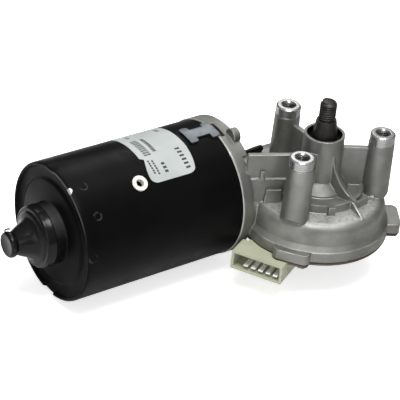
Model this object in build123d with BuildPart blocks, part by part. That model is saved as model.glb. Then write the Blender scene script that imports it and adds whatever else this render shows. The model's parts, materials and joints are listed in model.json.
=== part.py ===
from build123d import *
import os
from math import atan2, cos, degrees, hypot, pi, radians, sin, sqrt, tan

# Heavy-vehicle windscreen wiper motor: a permanent-magnet motor driving a worm gearbox.
# Frame, in millimetres: +Z points up the output shaft, the origin is where the output axis
# crosses the plane of the three mounting-post faces, and +X runs along the motor shaft from
# the nose of the can towards the gearbox.

# ------------------------------------------------------------------ driving dimensions
# Mounting posts
POST_CIRCLE_DIAMETER = 70.0
POST_COUNT = 3
POST_FIRST_ANGLE = 90.0
POST_LAND_RADIUS = 7.5
POST_LAND_HEIGHT = 6.3
POST_BODY_RADIUS = 7.7
POST_DRAFT = 1.3
POST_LAND_CHAMFER = 0.8
POST_THREAD_RADIUS = 3.4
POST_THREAD_DEPTH = 16.0
POST_MOUTH_RADIUS = 4.5
POST_TOE_RADIUS = 43.7
POST_TOE_TOP_Z = -38.5
POST_TOE_Z = -42.5
POST_TOE_INSET = 2.3
POST_FOOT_Z = -33.6

# Output hub and its webs
HUB_RADIUS = 12.1
HUB_TOP = -1.25
HUB_FOOT_RADIUS = 12.7
HUB_FOOT_Z = -29.0
HUB_BORE_RADIUS = 10.0
HUB_MOUTH_RADIUS = 10.6
HUB_MOUTH_DEPTH = 7.6
WEB_TOP = -10.0
WEB_THICKNESS = 3.0
FLANGE_WALL_ANGLE = -26.3
FLANGE_WALL_START = (-46.0, 12.2)
FLANGE_WALL_LENGTH = 41.0
LEDGE_Z = -25.5
LEDGE_EXTRA = 1.2
GUSSET_ANGLE = -70.0
GUSSET_THICKNESS = 2.4
GUSSET_OFFSET = (-4.6, -0.9)
GUSSET_ROOT = 1.5
GUSSET_BEND = (8.0, -28.0)
GUSSET_TOE_REACH = 18.0
GUSSET_TOE_RISE = 0.8
GUSSET_FOOT_REACH = 18.8
GUSSET_FOOT_DROP = 5.0

# Gear bowl
BOWL_RADIUS = 41.7
BOWL_WALL = 2.8
BOWL_FLARE = 0.9
BOWL_FLARE_HEIGHT = 3.0
BOWL_TOP = -41.0
BOWL_SHOULDER_RADIUS = 6.0
CHAMBER_CORNER_RADIUS = 1.8
FLANGE_BLOCK_Y = 3.0
ROOF_THICKNESS = 2.6
DISC_INSET = 14.5
DISC_TOP = -35.0
DISC_DRAFT = 0.3
DISC_LIP = 1.7
DISC_GROOVE_DEPTH = 0.8
DISC_GROOVE_INNER_RADIUS = 18.0
DISC_BUMP_REACH = 3.0
DISC_BUMP_ANGLES = (-117.0, -106.0)
SHOULDER_RIB_X = 4.4
SHOULDER_RIB_THICKNESS = 1.6
SIDE_RIB = ((7.2, -28.4), (16.8, -26.5))
SIDE_RIB_TOP = -35.4
RIM_STEP = 3.9
RIM_TOP = -56.5
RIM_BOTTOM = -62.7
LOBE_ANGLES = (33.0, 147.0, 216.0, 328.0)
LOBE_REACHES = (7.9, 7.9, 7.9, 10.7)
COVER_SCREW_ANGLES = (33.0, 147.0, 224.5, 328.0)
LOBE_WIDTH = 22.5
LOBE_CORNER = 4.0

# Cover, gasket and screws
GASKET_THICKNESS = 1.0
COVER_THICKNESS = 1.5
COVER_INSET = 0.6
COVER_SCREW_OUTSET = 3.3
COVER_SCREW_RADIUS = 2.1
COVER_SCREW_CLEARANCE_RADIUS = 2.6
COVER_SCREW_HEAD_RADIUS = 3.5
COVER_SCREW_HEAD_HEIGHT = 1.5
COVER_SCREW_DEPTH = 4.2

# Gear train
WHEEL_TEETH = 59
WHEEL_CLEARANCE = 0.775
WORM_PITCH_RADIUS = 7.125
PRESSURE_ANGLE = 20.0
WORM_TIP_RADIUS = 8.1
WORM_ROOT_RADIUS = 5.6
WORM_TURNS = 8
WHEEL_FACE = 8.0
WHEEL_ADDENDUM = 1.25
WHEEL_DEDENDUM = 1.5
FLANK_CLEARANCE = 0.24
WHEEL_WEB = 4.5
WHEEL_RIM_INNER_RADIUS = 32.0
WHEEL_HUB_RADIUS = 14.5

# Motor
MOTOR_AXIS_Z = -48.3
CAN_RADIUS = 41.45
CAN_WALL = 2.2
CAN_CORNER_RADIUS = 3.5
CAN_MOUTH_SPACING = 10.0
NOSE_BOSS_RADIUS = 18.3
NOSE_BOSS_LENGTH = 7.9
FLANGE_RADIUS = 42.0
FLANGE_THICKNESS = 6.7
FLANGE_UPPER_THICKNESS = 10.2
FLANGE_UPPER_ANGLES = (40.0, 128.0)
FLANGE_BOSS_RADIUS = 4.5
FLANGE_BOSS_OUTSET = 0.6
FLANGE_BOSS_ANGLE = 108.0
FLANGE_BOSS_LENGTH = 4.5
SPIGOT_LENGTH = 4.3
SPIGOT_WALL = 3.0
SPIGOT_CLEARANCE = 0.1
SHAFT_RADIUS = 5.0
REAR_JOURNAL_RADIUS = 4.0
MAGNET_THICKNESS = 6.0
MAGNET_LENGTH = 62.0
MAGNET_SPAN = 132.0
AIR_GAP = 0.7
CORE_LENGTH = 54.0
CORE_SLOTS = 12
END_TURN_LENGTH = 10.0
END_TURN_GAP = 5.9
HUB_GAP = 1.4
COMMUTATOR_RADIUS = 13.0
COMMUTATOR_LENGTH = 15.0
COMMUTATOR_BARS = 24
COMMUTATOR_WALL = 4.5

# Worm tunnel
TUNNEL_RADIUS = 13.6
TUNNEL_BOTTOM_Z = -60.3
TUNNEL_BOX_END_X = 20.0
TUNNEL_END_X = 33.0
TUNNEL_END_RADIUS = 11.0
TUNNEL_BORE_RADIUS = 9.0
BEARING_OUTER_RADIUS = 11.0
BEARING_WIDTH = 6.0
BEARING_INSET = 2.3

# Output shaft
OUTPUT_RADIUS = 8.0
OUTPUT_THREAD_RADIUS = 5.0
OUTPUT_THREAD_TOP = 20.0
OUTPUT_THREAD_BOTTOM = 8.0
OUTPUT_CONE_TOP_RADIUS = 5.9
OUTPUT_CONE_BOTTOM_Z = -4.5
BUSH_LENGTH = 12.0
UPPER_BUSH_TOP = -9.4
LOWER_BUSH_TOP = -29.5
SEAL_HEIGHT = 3.6
THRUST_WASHER_RADIUS = 13.5
THRUST_WASHER_THICKNESS = 0.6
RUNNING_CLEARANCE = 0.05

# Connector
CONNECTOR_DIRECTION = 208.5
CONNECTOR_MOUTH_OUTSET = 14.54
CONNECTOR_MOUTH_ANGLE = 196.95
CONNECTOR_WIDTH = 32.8
CONNECTOR_HEIGHT = 12.6
CONNECTOR_HEAD_LENGTH = 14.0
CONNECTOR_LENGTH = 34.0
CONNECTOR_TAIL_INSET = 4.0
CONNECTOR_WALL = 1.6
CONNECTOR_SOCKET_DEPTH = 12.5
BLADE_COUNT = 5
BLADE_PITCH = 4.75
BLADE_ROW_SHIFT = 2.6
BLADE_ROW_DROP = 2.0
BLADE_WIDTH = 2.8
BLADE_THICKNESS = 0.8
BLADE_TIP_DEPTH = 0.6
BLADE_SLOT_CLEARANCE = 0.05
BLADE_BEND_DEPTH = 29.0
UPSTAND_LENGTH = 6.0
UPSTAND_WIDTH = 24.6
CONTACT_BOARD_THICKNESS = 1.4
CONTACT_BOARD_TOP = -60.2
CONTACT_BOARD_LENGTH = 20.0
CONTACT_DISC_THICKNESS = 0.8
CONTACT_DISC_RADIUS = 30.0
CONTACT_DISC_GAP_ANGLE = 40.0
CONTACT_DISC_GAP_DEPTH = 8.0
CONTACT_DISC_GAP_WIDTH = 12.0
CONTACT_GAP = 0.15
FINGER_WIDTH = 3.4
FINGER_THICKNESS = 0.4
FINGER_TIP_INSET = 0.7

# Brush gear
BRUSH_ANGLES = (90.0, 270.0, 315.0)
BRUSH_WIDTH = 8.0
BRUSH_AXIAL = 6.0
BRUSH_LENGTH = 13.0
BRUSH_CLEARANCE = 0.1
HOLDER_WALL = 1.0
HOLDER_START_RADIUS = 15.2
HOLDER_LENGTH = 17.0
BRUSH_PLATE_THICKNESS = 1.6
BRUSH_PLATE_RADIUS = 38.4
BRUSH_PLATE_BORE = 14.8
SPRING_WIRE_RADIUS = 0.35
SPRING_RADIUS = 2.2
CHOKE_RADIUS = 3.0
CHOKE_CORE_RADIUS = 1.8
CHOKE_LENGTH = 12.0
CHOKE_CORE_LENGTH = 18.0
CHOKE_CIRCLE_RADIUS = 29.0

# Bearings and thrust parts
BALL_COUNT = 9
BALL_RADIUS = 1.85
BALL_CIRCLE_RADIUS = 8.0
RACE_CLEARANCE = 0.08
OUTER_RING_BORE = 9.3
INNER_RING_RADIUS = 6.7
SNAP_RING_THICKNESS = 1.1
SNAP_RING_OUTER_RADIUS = 12.0
SNAP_RING_INNER_RADIUS = 9.6
REAR_BUSH_RADIUS = 9.5
REAR_BUSH_LENGTH = 8.8
RETAINER_THICKNESS = 1.2
WORM_JOURNAL_RADIUS = 4.5
WORM_BODY_END_X = 17.0
WORM_BUSH_X = 17.6
WORM_BUSH_LENGTH = 8.0
SHAFT_END_X = 26.0
THRUST_BALL_RADIUS = 2.4
THRUST_BALL_STANDOUT = 1.6
THRUST_PAD_THICKNESS = 1.5
THRUST_GAP = 0.1
THRUST_SCREW_RADIUS = 7.0
THRUST_SCREW_OUTER_X = 38.0
LOCKNUT_THICKNESS = 3.5
LOCKNUT_RADIUS = 10.5

# Clips, grommet, vent and nose cap
CLIP_THICKNESS = 1.3
CLIP_LENGTH = 21.0
CLIP_OVERLAP = 1.0
CLIP_HEAD_LENGTH = 5.8
CLIP_HEAD_WIDTH = 14.5
CLIP_WAIST_WIDTH = 7.8
CLIP_ANGLES = (94.3, 274.3)
CLIP_LIP_DEPTH = 1.9
CLIP_LIP_WIDTH = 11.0
CLIP_CLEARANCE = 0.15
CLIP_SLOT_LENGTH = 2.8
CLIP_SLOT_DEPTH = 4.0
CLIP_SLOT_ANGLES = (87.0, 105.5)
GROMMET_DISTANCE = 64.5
GROMMET_ANGLE = 125.0
GROMMET_RADIUS = 4.6
GROMMET_NECK_RADIUS = 3.4
GROMMET_BORE_RADIUS = 2.4
GROMMET_HEIGHT = 0.9
VENT_X = -11.4
VENT_STEM_RADIUS = 1.5
VENT_LENGTH = 11.0
VENT_RADIUS = 2.0
VENT_TIP_RADIUS = 1.3
VENT_RISE = 2.05
VENT_DEPTH = 4.0
CAP_BASE_RADIUS = 13.5
CAP_TIP_RADIUS = 7.5
CAP_CONE_LENGTH = 13.0
CAP_LENGTH = 21.0
CAP_RIM_STEP = 1.5
CAP_RIM_THICKNESS = 1.6
CAP_NECK_DEPTH = 1.2
CAP_STEM_RADIUS = 5.0

# ------------------------------------------------------------------ worked-out dimensions
POST_CIRCLE_RADIUS = POST_CIRCLE_DIAMETER / 2
BOWL_INNER_RADIUS = BOWL_RADIUS - BOWL_WALL
PITCH_RADIUS = BOWL_INNER_RADIUS - WHEEL_CLEARANCE - WHEEL_ADDENDUM
MODULE = 2 * PITCH_RADIUS / WHEEL_TEETH
CENTRE_DISTANCE = PITCH_RADIUS + WORM_PITCH_RADIUS
WORM_PITCH = pi * MODULE
LEAD_ANGLE = degrees(atan2(WORM_PITCH, 2 * pi * WORM_PITCH_RADIUS))
TOOTH_THICKNESS = WORM_PITCH / 2 - FLANK_CLEARANCE
WHEEL_TOP = MOTOR_AXIS_Z + WHEEL_FACE / 2
WHEEL_BOTTOM = MOTOR_AXIS_Z - WHEEL_FACE / 2
ROOF_UNDERSIDE = BOWL_TOP - ROOF_THICKNESS
GASKET_BOTTOM = RIM_BOTTOM - GASKET_THICKNESS
COVER_BOTTOM = GASKET_BOTTOM - COVER_THICKNESS
CAN_INNER_RADIUS = CAN_RADIUS - CAN_WALL
CAN_MOUTH_X = -(BOWL_RADIUS + CAN_MOUTH_SPACING)
FLANGE_BACK_X = CAN_MOUTH_X + FLANGE_THICKNESS
SPIGOT_END_X = CAN_MOUTH_X - SPIGOT_LENGTH
SPIGOT_RADIUS = CAN_INNER_RADIUS - SPIGOT_CLEARANCE
MAGNET_INNER_RADIUS = CAN_INNER_RADIUS - MAGNET_THICKNESS
CORE_RADIUS = MAGNET_INNER_RADIUS - AIR_GAP
BRUSH_PLATE_X = SPIGOT_END_X - BRUSH_PLATE_THICKNESS
COMMUTATOR_END_X = BRUSH_PLATE_X - 1.0
COMMUTATOR_START_X = COMMUTATOR_END_X - COMMUTATOR_LENGTH
COMMUTATOR_HUB_X = COMMUTATOR_START_X - 2.0
CORE_END_X = COMMUTATOR_HUB_X - HUB_GAP - END_TURN_LENGTH
CORE_START_X = CORE_END_X - CORE_LENGTH
CAN_END_X = CORE_START_X - END_TURN_LENGTH - END_TURN_GAP - CAN_WALL
NOSE_BOSS_X = CAN_END_X - NOSE_BOSS_LENGTH
DISC_RADIUS = BOWL_RADIUS - DISC_INSET
RIM_RADIUS = BOWL_RADIUS + RIM_STEP
LOBE_INNER_RADIUS = BOWL_RADIUS - 3.0
COVER_SCREW_CIRCLE_RADIUS = BOWL_RADIUS + COVER_SCREW_OUTSET
TUNNEL_TOP_Z = MOTOR_AXIS_Z + TUNNEL_RADIUS
CONNECTOR_TOP = GASKET_BOTTOM

MOTOR_AXIS = Axis((0, CENTRE_DISTANCE, MOTOR_AXIS_Z), (1, 0, 0))
MOTOR_SECTION = Plane(origin=(0, CENTRE_DISTANCE, MOTOR_AXIS_Z), x_dir=(1, 0, 0), z_dir=(0, -1, 0))


def across(x):
    """The plane square to the motor shaft at x: local x is +Y and local y is +Z."""
    return Plane(origin=(x, CENTRE_DISTANCE, MOTOR_AXIS_Z), x_dir=(0, 1, 0), z_dir=(1, 0, 0))


def motor_ring(x_start, x_end, outer_radius, inner_radius=0.0):
    """A plain ring or disc on the motor axis."""
    with BuildPart() as ring:
        with BuildSketch(across(x_start)):
            Circle(outer_radius)
            if inner_radius:
                Circle(inner_radius, mode=Mode.SUBTRACT)
        extrude(amount=x_end - x_start)
    return ring


def output_ring(z_bottom, z_top, outer_radius, inner_radius=0.0):
    """A plain ring or disc on the output axis."""
    with BuildPart() as ring:
        with BuildSketch(Plane.XY.offset(z_bottom)):
            Circle(outer_radius)
            if inner_radius:
                Circle(inner_radius, mode=Mode.SUBTRACT)
        extrude(amount=z_top - z_bottom)
    return ring


def polar(radius, angle):
    """A point (x, y) at a radius and an angle in degrees about the output axis."""
    return (radius * cos(radians(angle)), radius * sin(radians(angle)))


def connector_plane(depth, z):
    """The plane across the connector, square to its mating direction, at a depth behind its mouth.

    Local x runs along the row of blades and local y is +Z.
    """
    inward = radians(CONNECTOR_DIRECTION + 180)
    mouth = polar(BOWL_RADIUS + CONNECTOR_MOUTH_OUTSET, CONNECTOR_MOUTH_ANGLE)
    origin = (mouth[0] + depth * cos(inward), mouth[1] + depth * sin(inward), z)
    return Plane(origin=origin, x_dir=(sin(inward), -cos(inward), 0), z_dir=(-cos(inward), -sin(inward), 0))


pieces = {}
CONNECTOR_MIDDLE_Z = CONNECTOR_TOP - CONNECTOR_HEIGHT / 2
BLADE_ROW_Z = CONNECTOR_MIDDLE_Z - BLADE_ROW_DROP
FINGER_TIP_DEPTH = BOWL_RADIUS - FINGER_TIP_INSET
CONNECTOR_TAIL_WIDTH = CONNECTOR_WIDTH - CONNECTOR_TAIL_INSET
BEARING_X = CAN_MOUTH_X + BEARING_INSET
BEARING_END_X = BEARING_X + BEARING_WIDTH
CLIP_OUTER_RADIUS = CAN_RADIUS + CLIP_THICKNESS
CLIP_END_X = CAN_MOUTH_X + CLIP_OVERLAP
CLIP_START_X = CLIP_END_X - CLIP_LENGTH
GROMMET_X = CAN_MOUTH_X - GROMMET_DISTANCE
CAP_CONE_X = NOSE_BOSS_X - CAP_CONE_LENGTH
CAP_TIP_X = NOSE_BOSS_X - CAP_LENGTH


def rim_outline(inset=0.0):
    """The outline of the bowl's rim with its flange block and screw lobes, for housing, gasket and cover."""
    with BuildSketch() as lobes:
        for angle, reach in zip(LOBE_ANGLES, LOBE_REACHES):
            length = BOWL_RADIUS + reach - inset - LOBE_INNER_RADIUS
            with Locations(Location((*polar(LOBE_INNER_RADIUS + length / 2, angle), 0), (0, 0, angle))):
                Rectangle(length, LOBE_WIDTH - 2 * inset)
        corners = lobes.vertices().filter_by(lambda v: hypot(v.X, v.Y) > RIM_RADIUS)
        fillet(corners, LOBE_CORNER - inset)
    with BuildSketch() as outline:
        Circle(RIM_RADIUS - inset)
        with Locations((FLANGE_BACK_X + inset, FLANGE_BLOCK_Y + inset)):
            Rectangle(-FLANGE_BACK_X, CENTRE_DISTANCE - TUNNEL_RADIUS, align=(Align.MIN, Align.MIN))
        add(lobes.sketch)
        with Locations((FLANGE_BACK_X + inset, 0)):
            Rectangle(20, 200, align=(Align.MAX, Align.CENTER), mode=Mode.SUBTRACT)
    return outline.sketch


def cover_screw_circles(radius, mode=Mode.ADD):
    """One circle in the open sketch for each cover screw."""
    for angle in COVER_SCREW_ANGLES:
        with Locations(polar(COVER_SCREW_CIRCLE_RADIUS, angle)):
            Circle(radius, mode=mode)


def around_motor(angle):
    """The plane on the motor axis that looks out at an angle from +Y towards +Z; local x is +X."""
    outward = (0, cos(radians(angle)), sin(radians(angle)))
    return Plane(origin=(0, CENTRE_DISTANCE, MOTOR_AXIS_Z), x_dir=(1, 0, 0), z_dir=outward)


def bridge_clip_pair(clearance=0.0, extra_height=0.0):
    """Two curved dog-bone clips over the joint of can and flange, each with a lip at either end."""
    length = CLIP_END_X - CLIP_START_X
    outer_radius = CLIP_OUTER_RADIUS + extra_height
    with BuildPart() as clips:
        for angle in CLIP_ANGLES:
            with BuildSketch(around_motor(angle)):
                with Locations(((CLIP_START_X + CLIP_END_X) / 2, 0)):
                    Rectangle(length, CLIP_WAIST_WIDTH + 2 * clearance)
                for x_head in (CLIP_START_X + CLIP_HEAD_LENGTH / 2, CLIP_END_X - CLIP_HEAD_LENGTH / 2):
                    with Locations((x_head, 0)):
                        RectangleRounded(CLIP_HEAD_LENGTH + 2 * clearance, CLIP_HEAD_WIDTH + 2 * clearance, 1.5)
            extrude(amount=outer_radius + 1)
        with BuildSketch(across(CLIP_START_X - 5)):
            Circle(outer_radius)
            Circle(CAN_RADIUS, mode=Mode.SUBTRACT)
        extrude(amount=length + 10, mode=Mode.INTERSECT)
        for angle in CLIP_ANGLES:
            lip_radius = CAN_RADIUS - CLIP_LIP_DEPTH - clearance
            with BuildSketch(around_motor(angle).offset(lip_radius)):
                for x_lip in (CLIP_START_X + CLIP_THICKNESS / 2, CLIP_END_X - CLIP_THICKNESS / 2):
                    with Locations((x_lip, 0)):
                        Rectangle(CLIP_THICKNESS + 2 * clearance, CLIP_LIP_WIDTH + 2 * clearance)
            extrude(amount=CLIP_LIP_DEPTH + clearance + CLIP_THICKNESS / 2)
    return clips


# ------------------------------------------------------------------ gear housing
wall_direction = (cos(radians(FLANGE_WALL_ANGLE)), sin(radians(FLANGE_WALL_ANGLE)))
wall_middle = (
    FLANGE_WALL_START[0] + wall_direction[0] * FLANGE_WALL_LENGTH / 2,
    FLANGE_WALL_START[1] + wall_direction[1] * FLANGE_WALL_LENGTH / 2,
)
gusset_run = (cos(radians(GUSSET_ANGLE)), sin(radians(GUSSET_ANGLE)))
gusset_plane = Plane(
    origin=(HUB_RADIUS * gusset_run[0] + GUSSET_OFFSET[0], HUB_RADIUS * gusset_run[1] + GUSSET_OFFSET[1], 0),
    x_dir=(*gusset_run, 0),
    z_dir=(gusset_run[1], -gusset_run[0], 0),
)
clip_seats = bridge_clip_pair(CLIP_CLEARANCE, 5.0)
upper_span = FLANGE_UPPER_ANGLES[1] - FLANGE_UPPER_ANGLES[0]
slot_span = CLIP_SLOT_ANGLES[1] - CLIP_SLOT_ANGLES[0]


def post_circles(radius):
    """One circle in the open sketch for each mounting post."""
    with PolarLocations(POST_CIRCLE_RADIUS, POST_COUNT, start_angle=POST_FIRST_ANGLE):
        Circle(radius)


# The posts stand on stubs that are cast with the roof and end in a toe at the bowl's shoulder
post_foot_radius = POST_BODY_RADIUS + (-POST_LAND_HEIGHT - POST_FOOT_Z) * tan(radians(POST_DRAFT))
with BuildPart() as mounting_posts:
    with BuildSketch(Plane.XY.offset(-POST_LAND_HEIGHT)):
        post_circles(POST_BODY_RADIUS)
    extrude(amount=POST_FOOT_Z + POST_LAND_HEIGHT, taper=-POST_DRAFT)
    with BuildSketch(Plane.XY.offset(-POST_LAND_HEIGHT)):
        post_circles(POST_LAND_RADIUS)
    extrude(amount=POST_LAND_HEIGHT)
    chamfer(mounting_posts.edges().filter_by(GeomType.CIRCLE).group_by(Axis.Z)[-1], POST_LAND_CHAMFER)
    # Threaded holes, each with a countersunk mouth
    with Locations(Plane.XY):
        with PolarLocations(POST_CIRCLE_RADIUS, POST_COUNT, start_angle=POST_FIRST_ANGLE):
            CounterSinkHole(POST_THREAD_RADIUS, POST_MOUTH_RADIUS, depth=POST_THREAD_DEPTH, counter_sink_angle=90)
pieces["mounting_posts"] = mounting_posts

with BuildPart() as post_stubs:
    with BuildSketch(Plane.XY.offset(POST_FOOT_Z)):
        post_circles(post_foot_radius)
    extrude(amount=POST_TOE_Z - POST_FOOT_Z, taper=-POST_DRAFT)
    with BuildSketch(Plane.XZ):
        with BuildLine():
            Polyline(
                (0, POST_FOOT_Z),
                (POST_TOE_RADIUS, POST_FOOT_Z),
                (POST_TOE_RADIUS, POST_TOE_TOP_Z),
                (BOWL_RADIUS - POST_TOE_INSET, POST_TOE_Z),
                (0, POST_TOE_Z),
                close=True,
            )
        make_face()
    revolve(axis=Axis.Z, mode=Mode.INTERSECT)

with BuildPart() as gear_housing:
    # Bowl, stepped roof and hub in one turned profile
    with BuildSketch(Plane.XZ):
        with BuildLine():
            Polyline(
                (0, RIM_TOP),
                (RIM_RADIUS - 0.6, RIM_TOP),
                (BOWL_RADIUS + BOWL_FLARE, RIM_TOP + BOWL_FLARE_HEIGHT),
                (BOWL_RADIUS, BOWL_TOP),
                (DISC_RADIUS + DISC_DRAFT, BOWL_TOP + 0.8),
                (DISC_RADIUS, DISC_TOP),
                (DISC_RADIUS - DISC_LIP, DISC_TOP),
                (DISC_RADIUS - DISC_LIP - DISC_DRAFT, DISC_TOP - DISC_GROOVE_DEPTH),
                (DISC_GROOVE_INNER_RADIUS + DISC_DRAFT, DISC_TOP - DISC_GROOVE_DEPTH),
                (DISC_GROOVE_INNER_RADIUS, DISC_TOP + 0.4),
                (HUB_FOOT_RADIUS, HUB_FOOT_Z),
                (HUB_RADIUS, HUB_TOP),
                (0, HUB_TOP),
                close=True,
            )
        bowl_profile = make_face()
        fillet(bowl_profile.vertices().sort_by_distance((BOWL_RADIUS, BOWL_TOP)).first, BOWL_SHOULDER_RADIUS)
    revolve(axis=Axis.Z)
    # Rim with its screw lobes
    with BuildSketch(Plane.XY.offset(RIM_BOTTOM)):
        add(rim_outline())
    extrude(amount=RIM_TOP - RIM_BOTTOM)
    # Block that carries the bowl's side on to the motor flange
    with BuildSketch(across(FLANGE_BACK_X)):
        with BuildLine():
            Polyline(
                (FLANGE_BLOCK_Y - CENTRE_DISTANCE, RIM_TOP - MOTOR_AXIS_Z),
                (FLANGE_BLOCK_Y - CENTRE_DISTANCE, BOWL_TOP - MOTOR_AXIS_Z),
                (-TUNNEL_RADIUS, BOWL_TOP - MOTOR_AXIS_Z),
                (-TUNNEL_RADIUS, RIM_TOP - MOTOR_AXIS_Z),
                close=True,
            )
        block_face = make_face()
        block_corner = (FLANGE_BLOCK_Y - CENTRE_DISTANCE, BOWL_TOP - MOTOR_AXIS_Z)
        fillet(block_face.vertices().sort_by_distance(block_corner).first, BOWL_SHOULDER_RADIUS)
    extrude(amount=-FLANGE_BACK_X)
    # Motor flange and its spigot
    with BuildSketch(across(SPIGOT_END_X)):
        Circle(SPIGOT_RADIUS)
    extrude(amount=SPIGOT_LENGTH)
    with BuildSketch(across(CAN_MOUTH_X)):
        Circle(FLANGE_RADIUS)
    extrude(amount=FLANGE_THICKNESS)
    # Thicker upper sector of the flange, with a boss on its edge
    with BuildSketch(across(FLANGE_BACK_X)):
        with BuildLine():
            sector = CenterArc((0, 0), FLANGE_RADIUS, FLANGE_UPPER_ANGLES[0], upper_span)
            Polyline(sector @ 1, (0, 0), sector @ 0)
        make_face()
    extrude(amount=FLANGE_UPPER_THICKNESS - FLANGE_THICKNESS)
    flange_upper_x = CAN_MOUTH_X + FLANGE_UPPER_THICKNESS
    with BuildSketch(across(flange_upper_x)):
        with Locations(polar(FLANGE_RADIUS + FLANGE_BOSS_OUTSET, FLANGE_BOSS_ANGLE)):
            Circle(FLANGE_BOSS_RADIUS)
    extrude(amount=-FLANGE_BOSS_LENGTH)
    # Worm tunnel: a round crown on square sides
    with BuildSketch(across(FLANGE_BACK_X)):
        Circle(TUNNEL_RADIUS)
        with Locations((0, (TUNNEL_BOTTOM_Z - MOTOR_AXIS_Z) / 2)):
            Rectangle(2 * TUNNEL_RADIUS, MOTOR_AXIS_Z - TUNNEL_BOTTOM_Z)
    extrude(amount=TUNNEL_BOX_END_X - FLANGE_BACK_X)
    with BuildSketch(across(TUNNEL_BOX_END_X)):
        Circle(TUNNEL_END_RADIUS)
    extrude(amount=TUNNEL_END_X - TUNNEL_BOX_END_X)
    # Bump on the disc's edge and ribs on the roof
    with BuildSketch(Plane.XY.offset(DISC_TOP)):
        with BuildLine():
            bump_reach = DISC_RADIUS + DISC_BUMP_REACH
            Polyline(
                polar(DISC_RADIUS - DISC_LIP, DISC_BUMP_ANGLES[0]),
                polar(bump_reach, DISC_BUMP_ANGLES[0] + 1.5),
                polar(bump_reach, DISC_BUMP_ANGLES[1] - 1.5),
                polar(DISC_RADIUS - DISC_LIP, DISC_BUMP_ANGLES[1]),
                close=True,
            )
        make_face()
    extrude(amount=BOWL_TOP - DISC_TOP - 0.5)
    with BuildSketch(Plane.XY.offset(SIDE_RIB_TOP)):
        with BuildLine():
            Line(*SIDE_RIB)
        trace(line_width=SHOULDER_RIB_THICKNESS)
    extrude(amount=BOWL_TOP - SIDE_RIB_TOP - 0.5)
    with BuildSketch(Plane.YZ.offset(SHOULDER_RIB_X)):
        with BuildLine():
            Polyline(
                (-DISC_RADIUS + 1.0, DISC_TOP),
                (-DISC_RADIUS - 1.2, DISC_TOP),
                (-BOWL_RADIUS + 2.8, BOWL_TOP - 0.2),
                (-BOWL_RADIUS + 4.0, BOWL_TOP - 1.5),
                (-DISC_RADIUS + 1.0, BOWL_TOP - 1.5),
                close=True,
            )
        make_face()
    extrude(amount=SHOULDER_RIB_THICKNESS / 2, both=True)
    # Stubs under the mounting posts
    add(post_stubs.part)
    # Webs from the hub to the posts
    with BuildSketch(Plane.XY.offset(WEB_TOP)):
        web_inner = HUB_BORE_RADIUS + 1.0
        web_outer = POST_CIRCLE_RADIUS - POST_LAND_RADIUS + 3.0
        with PolarLocations((web_inner + web_outer) / 2, POST_COUNT, start_angle=POST_FIRST_ANGLE):
            Rectangle(web_outer - web_inner, WEB_THICKNESS)
    extrude(amount=BOWL_TOP - WEB_TOP - 0.5)
    # Wall from the hub to the motor flange, with a ledge along its foot
    for level, thickness in ((WEB_TOP, WEB_THICKNESS), (LEDGE_Z, WEB_THICKNESS + 2 * LEDGE_EXTRA)):
        with BuildSketch(Plane.XY.offset(level)):
            with Locations(Location((*wall_middle, 0), (0, 0, FLANGE_WALL_ANGLE))):
                Rectangle(FLANGE_WALL_LENGTH, thickness)
        extrude(amount=BOWL_TOP - level - 0.5)
    # Curved gusset on the front of the hub
    with BuildSketch(gusset_plane):
        with BuildLine():
            gusset_toe = (GUSSET_TOE_REACH, DISC_TOP + GUSSET_TOE_RISE)
            ThreePointArc((0, WEB_TOP - 1), GUSSET_BEND, gusset_toe)
            Polyline(
                gusset_toe,
                (GUSSET_FOOT_REACH, DISC_TOP - GUSSET_FOOT_DROP),
                (GUSSET_FOOT_REACH, BOWL_TOP - 0.5),
                (-GUSSET_ROOT, BOWL_TOP - 0.5),
                (-GUSSET_ROOT, WEB_TOP - 1),
                (0, WEB_TOP - 1),
            )
        make_face()
    extrude(amount=GUSSET_THICKNESS / 2, both=True)

    # Gear chamber
    with BuildSketch(Plane.XZ):
        with BuildLine():
            Polyline(
                (0, RIM_BOTTOM),
                (BOWL_INNER_RADIUS, RIM_BOTTOM),
                (BOWL_INNER_RADIUS, ROOF_UNDERSIDE),
                (0, ROOF_UNDERSIDE),
                close=True,
            )
        chamber = make_face()
        chamber_corner = (BOWL_INNER_RADIUS, ROOF_UNDERSIDE)
        fillet(chamber.vertices().sort_by_distance(chamber_corner).first, CHAMBER_CORNER_RADIUS)
    revolve(axis=Axis.Z, mode=Mode.SUBTRACT)
    # Hub bore and its wider mouth
    with BuildSketch(Plane.XY.offset(ROOF_UNDERSIDE - 1)):
        Circle(HUB_BORE_RADIUS)
    extrude(amount=-ROOF_UNDERSIDE + 1, mode=Mode.SUBTRACT)
    with BuildSketch(Plane.XY.offset(HUB_TOP - HUB_MOUTH_DEPTH)):
        Circle(HUB_MOUTH_RADIUS)
    extrude(amount=HUB_MOUTH_DEPTH + 1, mode=Mode.SUBTRACT)
    # Worm bore, bearing pocket, snap-ring groove and thrust-screw thread
    with BuildSketch(across(BEARING_END_X)):
        Circle(TUNNEL_BORE_RADIUS)
    extrude(amount=WORM_BUSH_X + WORM_BUSH_LENGTH + 1.4 - BEARING_END_X, mode=Mode.SUBTRACT)
    with BuildSketch(across(SPIGOT_END_X - 1)):
        Circle(BEARING_OUTER_RADIUS)
    extrude(amount=BEARING_END_X - SPIGOT_END_X + 1, mode=Mode.SUBTRACT)
    with BuildSketch(across(BEARING_X - SNAP_RING_THICKNESS)):
        Circle(SNAP_RING_OUTER_RADIUS)
    extrude(amount=SNAP_RING_THICKNESS, mode=Mode.SUBTRACT)
    with BuildSketch(across(SHAFT_END_X)):
        Circle(THRUST_SCREW_RADIUS)
    extrude(amount=TUNNEL_END_X - SHAFT_END_X + 1, mode=Mode.SUBTRACT)
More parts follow.
